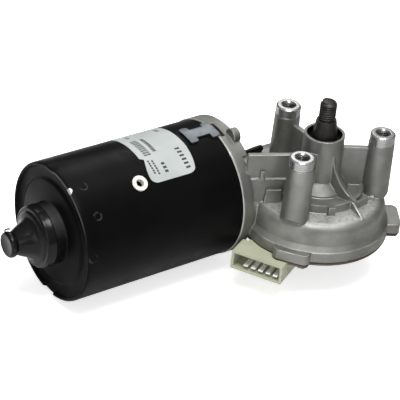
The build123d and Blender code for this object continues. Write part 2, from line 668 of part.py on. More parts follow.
    # Hollow behind the brush plate, round the bearing boss
    with BuildSketch(across(SPIGOT_END_X - 1)):
        Circle(SPIGOT_RADIUS - SPIGOT_WALL)
    extrude(amount=CAN_MOUTH_X - SPIGOT_END_X + 1, mode=Mode.SUBTRACT)
    with BuildSketch(across(CAN_MOUTH_X - 1)):
        Circle(SPIGOT_RADIUS - SPIGOT_WALL)
        Circle(BEARING_OUTER_RADIUS + 3.0, mode=Mode.SUBTRACT)
    extrude(amount=FLANGE_THICKNESS - BOWL_WALL + 1, mode=Mode.SUBTRACT)
    # Pockets for the bridge clips and the slot beyond the upper one
    add(clip_seats.part, mode=Mode.SUBTRACT)
    with BuildSketch(across(CLIP_END_X)):
        with BuildLine():
            for slot_radius in (FLANGE_RADIUS - CLIP_SLOT_DEPTH, FLANGE_RADIUS + 1):
                CenterArc((0, 0), slot_radius, CLIP_SLOT_ANGLES[0], slot_span)
            for slot_angle in CLIP_SLOT_ANGLES:
                Line(polar(FLANGE_RADIUS - CLIP_SLOT_DEPTH, slot_angle), polar(FLANGE_RADIUS + 1, slot_angle))
        make_face()
    extrude(amount=CLIP_SLOT_LENGTH, mode=Mode.SUBTRACT)
    # Room for the mounting posts
    add(mounting_posts.part, mode=Mode.SUBTRACT)
    with BuildSketch(Plane.XY):
        post_circles(POST_THREAD_RADIUS + 1)
    extrude(amount=POST_FOOT_Z, mode=Mode.SUBTRACT)
    # Screw holes in the lobes, from below
    with BuildSketch(Plane.XY.offset(RIM_BOTTOM)):
        cover_screw_circles(COVER_SCREW_RADIUS)
    extrude(amount=COVER_SCREW_DEPTH, mode=Mode.SUBTRACT)
    # Vent hole in the tunnel roof
    with BuildSketch(Plane.XY.offset(MOTOR_AXIS_Z)):
        with Locations((VENT_X, CENTRE_DISTANCE)):
            Circle(VENT_STEM_RADIUS)
    extrude(amount=TUNNEL_TOP_Z - MOTOR_AXIS_Z + 1, mode=Mode.SUBTRACT)
pieces["gear_housing"] = gear_housing

# ------------------------------------------------------------------ cover, gasket, screws
with BuildPart() as cover_gasket:
    with BuildSketch(Plane.XY.offset(GASKET_BOTTOM)):
        add(rim_outline())
        Circle(BOWL_INNER_RADIUS, mode=Mode.SUBTRACT)
        cover_screw_circles(COVER_SCREW_CLEARANCE_RADIUS, Mode.SUBTRACT)
    extrude(amount=GASKET_THICKNESS)
pieces["cover_gasket"] = cover_gasket

notch_clearance = 0.3
with BuildPart() as cover_plate:
    with BuildSketch(Plane.XY.offset(COVER_BOTTOM)):
        add(rim_outline(COVER_INSET))
        cover_screw_circles(COVER_SCREW_CLEARANCE_RADIUS, Mode.SUBTRACT)
    extrude(amount=COVER_THICKNESS)
    with BuildSketch(connector_plane(-5, CONNECTOR_MIDDLE_Z)):
        Rectangle(CONNECTOR_WIDTH + 2 * notch_clearance, CONNECTOR_HEIGHT + 4)
    extrude(amount=-CONNECTOR_HEAD_LENGTH - notch_clearance - 5, mode=Mode.SUBTRACT)
    with BuildSketch(connector_plane(0, CONNECTOR_MIDDLE_Z)):
        with Locations((CONNECTOR_TAIL_INSET / 2, 0)):
            Rectangle(CONNECTOR_TAIL_WIDTH + 2 * notch_clearance, CONNECTOR_HEIGHT + 4)
    extrude(amount=-CONNECTOR_LENGTH - notch_clearance, mode=Mode.SUBTRACT)
pieces["cover_plate"] = cover_plate

HEAD_FLANGE = 0.5
with BuildPart() as cover_screws:
    with BuildSketch(Plane.XY.offset(COVER_BOTTOM)):
        cover_screw_circles(COVER_SCREW_RADIUS)
    extrude(amount=RIM_BOTTOM + COVER_SCREW_DEPTH - COVER_BOTTOM - 0.5)
    with BuildSketch(Plane.XY.offset(COVER_BOTTOM)):
        cover_screw_circles(COVER_SCREW_HEAD_RADIUS)
    extrude(amount=-HEAD_FLANGE)
    with BuildSketch(Plane.XY.offset(COVER_BOTTOM - HEAD_FLANGE)):
        for screw_angle in COVER_SCREW_ANGLES:
            with Locations(polar(COVER_SCREW_CIRCLE_RADIUS, screw_angle)):
                RegularPolygon(COVER_SCREW_HEAD_RADIUS - 0.1, 6)
    extrude(amount=HEAD_FLANGE - COVER_SCREW_HEAD_HEIGHT)
pieces["cover_screws"] = cover_screws

# ------------------------------------------------------------------ connector
blade_offsets = [BLADE_ROW_SHIFT + (number - (BLADE_COUNT - 1) / 2) * BLADE_PITCH for number in range(BLADE_COUNT)]
upstand_bottom = CONNECTOR_TOP - CONNECTOR_WALL
upstand_top = CONTACT_BOARD_TOP - CONTACT_BOARD_THICKNESS
leg_height = CONTACT_BOARD_TOP - BLADE_ROW_Z


def blade_row(clearance=0.0):
    """The five bent blades: a tongue along the socket and a leg up to the contact board."""
    thickness = BLADE_THICKNESS + 2 * clearance
    with BuildPart() as blades:
        with BuildSketch(connector_plane(BLADE_TIP_DEPTH, BLADE_ROW_Z)):
            for offset_x in blade_offsets:
                with Locations((offset_x, 0)):
                    Rectangle(BLADE_WIDTH + 2 * clearance, thickness)
        extrude(amount=BLADE_TIP_DEPTH - BLADE_BEND_DEPTH - thickness / 2)
        with BuildSketch(connector_plane(BLADE_BEND_DEPTH - thickness / 2, BLADE_ROW_Z)):
            for offset_x in blade_offsets:
                with Locations((offset_x, leg_height / 2)):
                    Rectangle(BLADE_WIDTH + 2 * clearance, leg_height)
        extrude(amount=-thickness)
    return blades


connector_terminals = blade_row()
pieces["connector_terminals"] = connector_terminals
blade_slots = blade_row(BLADE_SLOT_CLEARANCE)

with BuildPart() as connector_housing:
    with BuildSketch(connector_plane(0, CONNECTOR_MIDDLE_Z)):
        RectangleRounded(CONNECTOR_WIDTH, CONNECTOR_HEIGHT, 1.0)
    extrude(amount=-CONNECTOR_HEAD_LENGTH)
    with BuildSketch(connector_plane(CONNECTOR_HEAD_LENGTH, CONNECTOR_MIDDLE_Z)):
        with Locations((CONNECTOR_TAIL_INSET / 2, 0)):
            RectangleRounded(CONNECTOR_TAIL_WIDTH, CONNECTOR_HEIGHT, 1.0)
    extrude(amount=CONNECTOR_HEAD_LENGTH - CONNECTOR_LENGTH)
    with BuildSketch(connector_plane(BLADE_BEND_DEPTH - UPSTAND_LENGTH / 2, upstand_bottom)):
        with Locations((BLADE_ROW_SHIFT, (upstand_top - upstand_bottom) / 2)):
            Rectangle(UPSTAND_WIDTH, upstand_top - upstand_bottom)
    extrude(amount=-UPSTAND_LENGTH)
    with BuildSketch(connector_plane(0, CONNECTOR_MIDDLE_Z)):
        Rectangle(CONNECTOR_WIDTH - 2 * CONNECTOR_WALL, CONNECTOR_HEIGHT - 2 * CONNECTOR_WALL)
    extrude(amount=-CONNECTOR_SOCKET_DEPTH, mode=Mode.SUBTRACT)
    add(blade_slots.part, mode=Mode.SUBTRACT)
pieces["connector_housing"] = connector_housing

with BuildPart() as contact_board:
    with BuildSketch(connector_plane(BLADE_BEND_DEPTH - UPSTAND_LENGTH / 2, CONTACT_BOARD_TOP)):
        with Locations((BLADE_ROW_SHIFT, -CONTACT_BOARD_THICKNESS / 2)):
            Rectangle(UPSTAND_WIDTH, CONTACT_BOARD_THICKNESS)
    extrude(amount=-CONTACT_BOARD_LENGTH)
    add(blade_slots.part, mode=Mode.SUBTRACT)
pieces["contact_board"] = contact_board

contact_disc_bottom = WHEEL_BOTTOM - CONTACT_DISC_THICKNESS
finger_top = contact_disc_bottom - CONTACT_GAP - FINGER_THICKNESS / 2
finger_foot = CONTACT_BOARD_TOP + FINGER_THICKNESS / 2
finger_start = BLADE_BEND_DEPTH - BLADE_THICKNESS / 2
with BuildPart() as contact_fingers:
    for blade_offset in blade_offsets[1:-1]:
        row = connector_plane(0, 0)
        with BuildSketch(Plane(origin=row.origin + row.x_dir * blade_offset, x_dir=-row.z_dir, z_dir=row.x_dir)):
            with BuildLine():
                FilletPolyline(
                    (finger_start, finger_foot),
                    (finger_start + 4.0, finger_foot),
                    (FINGER_TIP_DEPTH, finger_top),
                    (FINGER_TIP_DEPTH + 2.5, finger_top - 2.0),
                    radius=1.0,
                )
            trace(line_width=FINGER_THICKNESS)
        extrude(amount=FINGER_WIDTH / 2, both=True)
pieces["contact_fingers"] = contact_fingers

# ------------------------------------------------------------------ output shaft and its bearings
circlip_groove_radius = OUTPUT_RADIUS - 0.8
circlip_thickness = 1.1
wheel_hub_bottom = WHEEL_BOTTOM - 1.1
shaft_bottom = wheel_hub_bottom - circlip_thickness - 2.0
with BuildPart() as output_shaft:
    with BuildSketch(Plane.XZ):
        with BuildLine():
            Polyline(
                (0, shaft_bottom),
                (OUTPUT_RADIUS - 0.8, shaft_bottom),
                (OUTPUT_RADIUS, shaft_bottom + 0.8),
                (OUTPUT_RADIUS, wheel_hub_bottom - circlip_thickness),
                (circlip_groove_radius, wheel_hub_bottom - circlip_thickness),
                (circlip_groove_radius, wheel_hub_bottom),
                (OUTPUT_RADIUS, wheel_hub_bottom),
                (OUTPUT_RADIUS, OUTPUT_CONE_BOTTOM_Z),
                (OUTPUT_CONE_TOP_RADIUS, OUTPUT_THREAD_BOTTOM),
                (OUTPUT_THREAD_RADIUS, OUTPUT_THREAD_BOTTOM),
                (OUTPUT_THREAD_RADIUS, OUTPUT_THREAD_TOP - 1.0),
                (OUTPUT_THREAD_RADIUS - 1.0, OUTPUT_THREAD_TOP),
                (0, OUTPUT_THREAD_TOP),
                close=True,
            )
        make_face()
    revolve(axis=Axis.Z)
pieces["output_shaft"] = output_shaft

bush_bore = OUTPUT_RADIUS + RUNNING_CLEARANCE
pieces["upper_bush"] = output_ring(UPPER_BUSH_TOP - BUSH_LENGTH, UPPER_BUSH_TOP, HUB_BORE_RADIUS, bush_bore)
pieces["lower_bush"] = output_ring(LOWER_BUSH_TOP - BUSH_LENGTH, LOWER_BUSH_TOP, HUB_BORE_RADIUS, bush_bore)
seal_bottom = HUB_TOP - HUB_MOUTH_DEPTH
pieces["shaft_seal"] = output_ring(seal_bottom, seal_bottom + SEAL_HEIGHT, HUB_MOUTH_RADIUS, bush_bore)
washer_top = WHEEL_TOP + THRUST_WASHER_THICKNESS
pieces["thrust_washer"] = output_ring(WHEEL_TOP, washer_top, THRUST_WASHER_RADIUS, OUTPUT_RADIUS)
with BuildPart() as shaft_circlip:
    with BuildSketch(Plane.XY.offset(wheel_hub_bottom - circlip_thickness)):
        Circle(OUTPUT_RADIUS + 2.4)
        Circle(circlip_groove_radius, mode=Mode.SUBTRACT)
        with Locations((0, -OUTPUT_RADIUS - 2)):
            Rectangle(5.0, 10.0, mode=Mode.SUBTRACT)
    extrude(amount=circlip_thickness)
pieces["shaft_circlip"] = shaft_circlip

# ------------------------------------------------------------------ worm wheel
TIP_RADIUS = PITCH_RADIUS + WHEEL_ADDENDUM
WHEEL_ROOT_RADIUS = PITCH_RADIUS - WHEEL_DEDENDUM
BASE_RADIUS = PITCH_RADIUS * cos(radians(PRESSURE_ANGLE))


def flank_half_angle(radius):
    """Half the angle, in radians, that a tooth covers at a radius, from the involute of the base circle."""
    base_tangent = sqrt(max((radius / BASE_RADIUS) ** 2 - 1, 0))
    pitch_tangent = tan(radians(PRESSURE_ANGLE))
    roll = base_tangent - atan2(base_tangent, 1)
    pitch_roll = pitch_tangent - radians(PRESSURE_ANGLE)
    return TOOTH_THICKNESS / 2 / PITCH_RADIUS + pitch_roll - roll


def toothed_outline(twist):
    """The wheel's toothed outline, turned by a twist in radians, with a tooth gap on +Y at no twist."""
    step = 2 * pi / WHEEL_TEETH

    def at(radius, angle):
        return (radius * cos(angle + twist), radius * sin(angle + twist))

    for tooth in range(WHEEL_TEETH):
        middle = pi / 2 + (tooth + 0.5) * step
        root, pitch, tip = (flank_half_angle(r) for r in (WHEEL_ROOT_RADIUS, PITCH_RADIUS, TIP_RADIUS))
        ThreePointArc(
            at(WHEEL_ROOT_RADIUS, middle - root), at(PITCH_RADIUS, middle - pitch), at(TIP_RADIUS, middle - tip)
        )
        Line(at(TIP_RADIUS, middle - tip), at(TIP_RADIUS, middle + tip))
        ThreePointArc(
            at(TIP_RADIUS, middle + tip), at(PITCH_RADIUS, middle + pitch), at(WHEEL_ROOT_RADIUS, middle + root)
        )
        Line(at(WHEEL_ROOT_RADIUS, middle + root), at(WHEEL_ROOT_RADIUS, middle + step - root))


WHEEL_INSERT_RADIUS = 11.0
with BuildPart() as worm_wheel:
    half_twist = WHEEL_FACE / 2 * tan(radians(LEAD_ANGLE)) / PITCH_RADIUS
    for level, twist in ((WHEEL_BOTTOM, -half_twist), (WHEEL_TOP, half_twist)):
        with BuildSketch(Plane.XY.offset(level)):
            with BuildLine():
                toothed_outline(twist)
            make_face()
    loft(ruled=True)
    with BuildSketch(Plane.XY.offset(WHEEL_BOTTOM + WHEEL_WEB)):
        Circle(WHEEL_RIM_INNER_RADIUS)
        Circle(WHEEL_HUB_RADIUS, mode=Mode.SUBTRACT)
    extrude(amount=WHEEL_FACE, mode=Mode.SUBTRACT)
    with BuildSketch(Plane.XY.offset(WHEEL_BOTTOM)):
        Circle(WHEEL_INSERT_RADIUS)
    extrude(amount=WHEEL_FACE, mode=Mode.SUBTRACT)
pieces["worm_wheel"] = worm_wheel
pieces["wheel_hub"] = output_ring(wheel_hub_bottom, WHEEL_TOP, WHEEL_INSERT_RADIUS, OUTPUT_RADIUS)

with BuildPart() as contact_disc:
    with BuildSketch(Plane.XY.offset(contact_disc_bottom)):
        Circle(CONTACT_DISC_RADIUS)
        Circle(WHEEL_HUB_RADIUS - 1.0, mode=Mode.SUBTRACT)
        with PolarLocations(CONTACT_DISC_RADIUS - 3.0, 1, start_angle=CONTACT_DISC_GAP_ANGLE):
            Rectangle(CONTACT_DISC_GAP_DEPTH, CONTACT_DISC_GAP_WIDTH, mode=Mode.SUBTRACT)
    extrude(amount=CONTACT_DISC_THICKNESS)
pieces["contact_disc"] = contact_disc

# ------------------------------------------------------------------ armature
WORM_LENGTH = WORM_TURNS * WORM_PITCH
worm_start = Vector(-WORM_LENGTH / 2 - WORM_PITCH / 4, CENTRE_DISTANCE, MOTOR_AXIS_Z)
thread_foot = WORM_ROOT_RADIUS - 0.05
slope = tan(radians(PRESSURE_ANGLE))
half_at_root = TOOTH_THICKNESS / 2 + (WORM_PITCH_RADIUS - thread_foot) * slope
half_at_tip = TOOTH_THICKNESS / 2 - (WORM_TIP_RADIUS - WORM_PITCH_RADIUS) * slope
worm_helix = Helix(WORM_PITCH, WORM_LENGTH, thread_foot, center=worm_start, direction=(1, 0, 0))
helix_start = worm_helix @ 0
helix_tangent = worm_helix % 0
helix_radial = (helix_start - worm_start).normalized()
rear_bush_start = NOSE_BOSS_X + CAN_WALL + 0.2

thrust_ball_x = SHAFT_END_X + THRUST_BALL_STANDOUT - THRUST_BALL_RADIUS
ball_back_x = thrust_ball_x - THRUST_BALL_RADIUS
ball_seat_radius = sqrt(THRUST_BALL_RADIUS**2 - (SHAFT_END_X - thrust_ball_x) ** 2)
ball_seat_middle = (
    thrust_ball_x - THRUST_BALL_RADIUS * cos(radians(45)),
    THRUST_BALL_RADIUS * sin(radians(45)),
)

with BuildPart() as armature_shaft:
    with BuildSketch(Plane(origin=helix_start, x_dir=helix_radial.cross(helix_tangent), z_dir=helix_tangent)):
        with BuildLine():
            Polyline(
                (-half_at_root, 0),
                (half_at_root, 0),
                (half_at_tip, WORM_TIP_RADIUS - thread_foot),
                (-half_at_tip, WORM_TIP_RADIUS - thread_foot),
                close=True,
            )
        make_face()
    sweep(path=worm_helix, is_frenet=True)
    with BuildSketch(MOTOR_SECTION):
        with BuildLine():
            Polyline(
                (rear_bush_start + 1.6, 0),
                (rear_bush_start + 1.6, REAR_JOURNAL_RADIUS),
                (rear_bush_start + REAR_BUSH_LENGTH + 0.8, REAR_JOURNAL_RADIUS),
                (rear_bush_start + REAR_BUSH_LENGTH + 0.8, SHAFT_RADIUS),
                (BEARING_END_X, SHAFT_RADIUS),
                (BEARING_END_X, WORM_ROOT_RADIUS),
                (WORM_BODY_END_X, WORM_ROOT_RADIUS),
                (WORM_BODY_END_X, WORM_JOURNAL_RADIUS),
                (SHAFT_END_X, WORM_JOURNAL_RADIUS),
                (SHAFT_END_X, ball_seat_radius),
            )
            ThreePointArc((SHAFT_END_X, ball_seat_radius), ball_seat_middle, (ball_back_x, 0))
            Line((ball_back_x, 0), (rear_bush_start + 1.6, 0))
        make_face()
    revolve(axis=MOTOR_AXIS)
pieces["armature_shaft"] = armature_shaft

with BuildPart() as thrust_ball:
    with Locations((thrust_ball_x, CENTRE_DISTANCE, MOTOR_AXIS_Z)):
        Sphere(THRUST_BALL_RADIUS)
pieces["thrust_ball"] = thrust_ball

SLOT_CIRCLE_RADIUS = CORE_RADIUS - 7.6
SLOT_RADIUS = 3.8
SLOT_MOUTH = 2.2
with BuildPart() as armature_core:
    with BuildSketch(across(CORE_START_X)):
        Circle(CORE_RADIUS)
        Circle(SHAFT_RADIUS, mode=Mode.SUBTRACT)
        with PolarLocations(SLOT_CIRCLE_RADIUS, CORE_SLOTS):
            Circle(SLOT_RADIUS, mode=Mode.SUBTRACT)
        with PolarLocations(CORE_RADIUS - 3.0, CORE_SLOTS):
            Rectangle(8.0, SLOT_MOUTH, mode=Mode.SUBTRACT)
    extrude(amount=CORE_LENGTH)
pieces["armature_core"] = armature_core

with BuildPart() as armature_windings:
    for end_turn_x in (CORE_START_X - END_TURN_LENGTH, CORE_END_X):
        with BuildSketch(across(end_turn_x)):
            Circle(SLOT_CIRCLE_RADIUS + SLOT_RADIUS)
            Circle(SHAFT_RADIUS + 2.5, mode=Mode.SUBTRACT)
        end_turn = extrude(amount=END_TURN_LENGTH)
        outer_edges = end_turn.edges().filter_by(GeomType.CIRCLE).filter_by(
            lambda e: e.radius > SLOT_CIRCLE_RADIUS
        )
        outward = outer_edges.sort_by(Axis.X)[0 if end_turn_x < CORE_START_X else -1]
        fillet(outward, END_TURN_LENGTH * 0.55)
    with BuildSketch(across(CORE_START_X)):
        with PolarLocations(SLOT_CIRCLE_RADIUS, CORE_SLOTS):
            Circle(SLOT_RADIUS - 0.15)
    extrude(amount=CORE_LENGTH)
pieces["armature_windings"] = armature_windings

COMMUTATOR_HUB_RADIUS = COMMUTATOR_RADIUS - COMMUTATOR_WALL
with BuildPart() as commutator:
    with BuildSketch(across(COMMUTATOR_START_X)):
        Circle(COMMUTATOR_RADIUS)
        Circle(COMMUTATOR_HUB_RADIUS, mode=Mode.SUBTRACT)
        with PolarLocations(COMMUTATOR_RADIUS, COMMUTATOR_BARS):
            Rectangle(1.6, 0.5, mode=Mode.SUBTRACT)
    extrude(amount=COMMUTATOR_LENGTH)
pieces["commutator"] = commutator
pieces["commutator_hub"] = motor_ring(COMMUTATOR_HUB_X, COMMUTATOR_END_X, COMMUTATOR_HUB_RADIUS, SHAFT_RADIUS)

# ------------------------------------------------------------------ shaft bearings
pieces["rear_bush"] = motor_ring(
    rear_bush_start,
    rear_bush_start + REAR_BUSH_LENGTH,
    REAR_BUSH_RADIUS,
    REAR_JOURNAL_RADIUS + RUNNING_CLEARANCE,
)
retainer_x = rear_bush_start + REAR_BUSH_LENGTH / 2
pieces["rear_bush_retainer"] = motor_ring(
    retainer_x, retainer_x + RETAINER_THICKNESS, NOSE_BOSS_RADIUS - CAN_WALL, REAR_BUSH_RADIUS
)
pieces["worm_bush"] = motor_ring(
    WORM_BUSH_X, WORM_BUSH_X + WORM_BUSH_LENGTH, TUNNEL_BORE_RADIUS, WORM_JOURNAL_RADIUS + RUNNING_CLEARANCE
)
BEARING_MIDDLE_X = BEARING_X + BEARING_WIDTH / 2
groove_radius = BALL_RADIUS + RACE_CLEARANCE


def race(outer_radius, inner_radius):
    """A bearing ring with a ball groove turned in it."""
    with BuildPart() as ring:
        with BuildSketch(MOTOR_SECTION):
            with Locations((BEARING_MIDDLE_X, (outer_radius + inner_radius) / 2)):
                Rectangle(BEARING_WIDTH, outer_radius - inner_radius)
            with Locations((BEARING_MIDDLE_X, BALL_CIRCLE_RADIUS)):
                Circle(groove_radius, mode=Mode.SUBTRACT)
        revolve(axis=MOTOR_AXIS)
    return ring


pieces["bearing_outer_ring"] = race(BEARING_OUTER_RADIUS, OUTER_RING_BORE)
pieces["bearing_inner_ring"] = race(INNER_RING_RADIUS, SHAFT_RADIUS)
with BuildPart() as bearing_balls:
    with Locations(across(BEARING_MIDDLE_X)):
        with PolarLocations(BALL_CIRCLE_RADIUS, BALL_COUNT):
            Sphere(BALL_RADIUS)
pieces["bearing_balls"] = bearing_balls

with BuildPart() as bearing_snap_ring:
    with BuildSketch(across(BEARING_X - SNAP_RING_THICKNESS)):
        Circle(SNAP_RING_OUTER_RADIUS)
        Circle(SNAP_RING_INNER_RADIUS, mode=Mode.SUBTRACT)
        with Locations((0, -SNAP_RING_OUTER_RADIUS)):
            Rectangle(6.0, 6.0, mode=Mode.SUBTRACT)
    extrude(amount=SNAP_RING_THICKNESS)
pieces["bearing_snap_ring"] = bearing_snap_ring

thrust_pad_x = SHAFT_END_X + THRUST_BALL_STANDOUT + THRUST_GAP
screw_start_x = thrust_pad_x + THRUST_PAD_THICKNESS
pieces["thrust_pad"] = motor_ring(thrust_pad_x, screw_start_x, THRUST_SCREW_RADIUS - 0.3)
with BuildPart() as thrust_screw:
    with BuildSketch(across(screw_start_x)):
        Circle(THRUST_SCREW_RADIUS)
    extrude(amount=THRUST_SCREW_OUTER_X - screw_start_x)
    with BuildSketch(across(THRUST_SCREW_OUTER_X)):
        RegularPolygon(4.0, 6)
    extrude(amount=-4.0, mode=Mode.SUBTRACT)
pieces["thrust_screw"] = thrust_screw
with BuildPart() as thrust_locknut:
    with BuildSketch(across(TUNNEL_END_X)):
        RegularPolygon(LOCKNUT_RADIUS, 6)
        Circle(THRUST_SCREW_RADIUS, mode=Mode.SUBTRACT)
    extrude(amount=LOCKNUT_THICKNESS)
pieces["thrust_locknut"] = thrust_locknut

# ------------------------------------------------------------------ brush gear
pieces["brush_plate"] = motor_ring(BRUSH_PLATE_X, SPIGOT_END_X, BRUSH_PLATE_RADIUS, BRUSH_PLATE_BORE)
holder_axial = BRUSH_AXIAL + 2 * (BRUSH_CLEARANCE + HOLDER_WALL)
holder_width = BRUSH_WIDTH + 2 * (BRUSH_CLEARANCE + HOLDER_WALL)
brush_middle_x = BRUSH_PLATE_X - holder_axial / 2


def radial_plane(angle, radius):
    """The plane square to a motor radius: local x is -X and local z points outwards."""
    outward = (0, cos(radians(angle)), sin(radians(angle)))
    origin = (
        brush_middle_x,
        CENTRE_DISTANCE + radius * outward[1],
        MOTOR_AXIS_Z + radius * outward[2],
    )
    return Plane(origin=origin, x_dir=(-1, 0, 0), z_dir=outward)


with BuildPart() as brushes:
    for brush_angle in BRUSH_ANGLES:
        with BuildSketch(radial_plane(brush_angle, COMMUTATOR_RADIUS - 1.5)):
            Rectangle(BRUSH_AXIAL, BRUSH_WIDTH)
        extrude(amount=BRUSH_LENGTH + 1.5)
    with BuildSketch(across(COMMUTATOR_START_X - 5)):
        Circle(COMMUTATOR_RADIUS + RUNNING_CLEARANCE)
    extrude(amount=COMMUTATOR_LENGTH + 10, mode=Mode.SUBTRACT)
pieces["brushes"] = brushes

with BuildPart() as brush_holders:
    for brush_angle in BRUSH_ANGLES:
        with BuildSketch(radial_plane(brush_angle, HOLDER_START_RADIUS)):
            Rectangle(holder_axial, holder_width)
            Rectangle(BRUSH_AXIAL + 2 * BRUSH_CLEARANCE, BRUSH_WIDTH + 2 * BRUSH_CLEARANCE, mode=Mode.SUBTRACT)
        extrude(amount=HOLDER_LENGTH)
        with BuildSketch(radial_plane(brush_angle, HOLDER_START_RADIUS + HOLDER_LENGTH - HOLDER_WALL)):
            Rectangle(holder_axial, holder_width)
        extrude(amount=HOLDER_WALL)
pieces["brush_holders"] = brush_holders

spring_start = COMMUTATOR_RADIUS + BRUSH_LENGTH + SPRING_WIRE_RADIUS + 0.02
spring_end = HOLDER_START_RADIUS + HOLDER_LENGTH - HOLDER_WALL - SPRING_WIRE_RADIUS - 0.02
spring_turns = 3.0
with BuildPart() as brush_springs:
    for brush_angle in BRUSH_ANGLES:
        seat = radial_plane(brush_angle, spring_start)
        coil = Helix(
            (spring_end - spring_start) / spring_turns,
            spring_end - spring_start,
            SPRING_RADIUS,
            center=seat.origin,
            direction=seat.z_dir,
        )
        with BuildSketch(Plane(origin=coil @ 0, z_dir=coil % 0)):
            Circle(SPRING_WIRE_RADIUS)
        sweep(path=coil, is_frenet=True)
pieces["brush_springs"] = brush_springs

choke_x = BRUSH_PLATE_X - CHOKE_RADIUS


def choke_plane(side, half_length):
    """The plane at one end of a choke, square to its axis, which runs along Z beside the commutator."""
    return Plane(
        origin=(choke_x, CENTRE_DISTANCE + side * CHOKE_CIRCLE_RADIUS, MOTOR_AXIS_Z - half_length), z_dir=(0, 0, 1)
    )


with BuildPart() as choke_coils:
    for side in (-1, 1):
        with BuildSketch(choke_plane(side, CHOKE_LENGTH / 2)):
            Circle(CHOKE_RADIUS)
            Circle(CHOKE_CORE_RADIUS, mode=Mode.SUBTRACT)
        extrude(amount=CHOKE_LENGTH)
pieces["choke_coils"] = choke_coils
with BuildPart() as choke_cores:
    for side in (-1, 1):
        with BuildSketch(choke_plane(side, CHOKE_CORE_LENGTH / 2)):
            Circle(CHOKE_CORE_RADIUS)
        extrude(amount=CHOKE_CORE_LENGTH)
pieces["choke_cores"] = choke_cores

# ------------------------------------------------------------------ can and magnets
with BuildPart() as motor_can:
    with BuildSketch(MOTOR_SECTION):
        with BuildLine():
            Polyline(
                (CAN_MOUTH_X, CAN_INNER_RADIUS),
                (CAN_MOUTH_X, CAN_RADIUS),
                (CAN_END_X, CAN_RADIUS),
                (CAN_END_X, NOSE_BOSS_RADIUS),
                (NOSE_BOSS_X, NOSE_BOSS_RADIUS),
                (NOSE_BOSS_X, CAP_STEM_RADIUS),
                (NOSE_BOSS_X + CAN_WALL, CAP_STEM_RADIUS),
                (NOSE_BOSS_X + CAN_WALL, NOSE_BOSS_RADIUS - CAN_WALL),
                (CAN_END_X + CAN_WALL, NOSE_BOSS_RADIUS - CAN_WALL),
                (CAN_END_X + CAN_WALL, CAN_INNER_RADIUS),
                close=True,
            )
        can_profile = make_face()
        corners = can_profile.vertices()
        fillet(corners.sort_by_distance((CAN_END_X, CAN_RADIUS)).first, CAN_CORNER_RADIUS)
        fillet(
            can_profile.vertices().sort_by_distance((CAN_END_X + CAN_WALL, CAN_INNER_RADIUS)).first,
            CAN_CORNER_RADIUS - CAN_WALL / 2,
        )
        fillet(can_profile.vertices().sort_by_distance((NOSE_BOSS_X, NOSE_BOSS_RADIUS)).first, 1.8)
    revolve(axis=MOTOR_AXIS)
    with BuildSketch(around_motor(GROMMET_ANGLE)):
        with Locations((GROMMET_X, 0)):
            Circle(GROMMET_NECK_RADIUS)
    extrude(amount=CAN_RADIUS + 5, mode=Mode.SUBTRACT)
    add(clip_seats.part, mode=Mode.SUBTRACT)
pieces["motor_can"] = motor_can

with BuildPart() as can_grommet:
    with BuildSketch(around_motor(GROMMET_ANGLE)):
        with Locations((GROMMET_X, 0)):
            Circle(GROMMET_RADIUS)
    extrude(amount=CAN_RADIUS + GROMMET_HEIGHT)
    with BuildSketch(across(GROMMET_X - 20)):
        Circle(CAN_RADIUS)
    extrude(amount=40, mode=Mode.SUBTRACT)
    with BuildSketch(around_motor(GROMMET_ANGLE).offset(CAN_INNER_RADIUS - 0.4)):
        with Locations((GROMMET_X, 0)):
            Circle(GROMMET_NECK_RADIUS)
    extrude(amount=CAN_WALL + 0.8)
    with BuildSketch(around_motor(GROMMET_ANGLE)):
        with Locations((GROMMET_X, 0)):
            Circle(GROMMET_BORE_RADIUS)
    extrude(amount=CAN_RADIUS + 5, mode=Mode.SUBTRACT)
pieces["can_grommet"] = can_grommet

bridge_clips = bridge_clip_pair()
pieces["bridge_clips"] = bridge_clips

magnet_start_x = (CORE_START_X + CORE_END_X) / 2 - MAGNET_LENGTH / 2
with BuildPart() as magnets:
    for magnet_angle in (GROMMET_ANGLE - 90, GROMMET_ANGLE + 90):
        with BuildSketch(across(magnet_start_x)):
            with BuildLine():
                CenterArc((0, 0), CAN_INNER_RADIUS, magnet_angle - MAGNET_SPAN / 2, MAGNET_SPAN)
                CenterArc((0, 0), MAGNET_INNER_RADIUS, magnet_angle - MAGNET_SPAN / 2, MAGNET_SPAN)
                for end_angle in (magnet_angle - MAGNET_SPAN / 2, magnet_angle + MAGNET_SPAN / 2):
                    Line(polar(MAGNET_INNER_RADIUS, end_angle), polar(CAN_INNER_RADIUS, end_angle))
            make_face()
        extrude(amount=MAGNET_LENGTH)
pieces["magnets"] = magnets

# ------------------------------------------------------------------ nose cap and vent
with BuildPart() as nose_cap:
    with BuildSketch(MOTOR_SECTION):
        with BuildLine():
            Polyline(
                (NOSE_BOSS_X + CAN_WALL, 0),
                (NOSE_BOSS_X + CAN_WALL, CAP_STEM_RADIUS),
                (NOSE_BOSS_X, CAP_STEM_RADIUS),
                (NOSE_BOSS_X, CAP_BASE_RADIUS + CAP_RIM_STEP),
                (NOSE_BOSS_X - CAP_RIM_THICKNESS, CAP_BASE_RADIUS + CAP_RIM_STEP),
                (NOSE_BOSS_X - CAP_RIM_THICKNESS - 1.0, CAP_BASE_RADIUS),
                (CAP_CONE_X, CAP_TIP_RADIUS),
                (CAP_CONE_X - 1.0, CAP_TIP_RADIUS - CAP_NECK_DEPTH),
                (CAP_CONE_X - 2.4, CAP_TIP_RADIUS - CAP_NECK_DEPTH),
                (CAP_CONE_X - 3.0, CAP_TIP_RADIUS),
                (CAP_TIP_X + 1.5, CAP_TIP_RADIUS),
                (CAP_TIP_X, CAP_TIP_RADIUS - 1.5),
                (CAP_TIP_X, 0),
                close=True,
            )
        make_face()
    revolve(axis=MOTOR_AXIS)
pieces["nose_cap"] = nose_cap

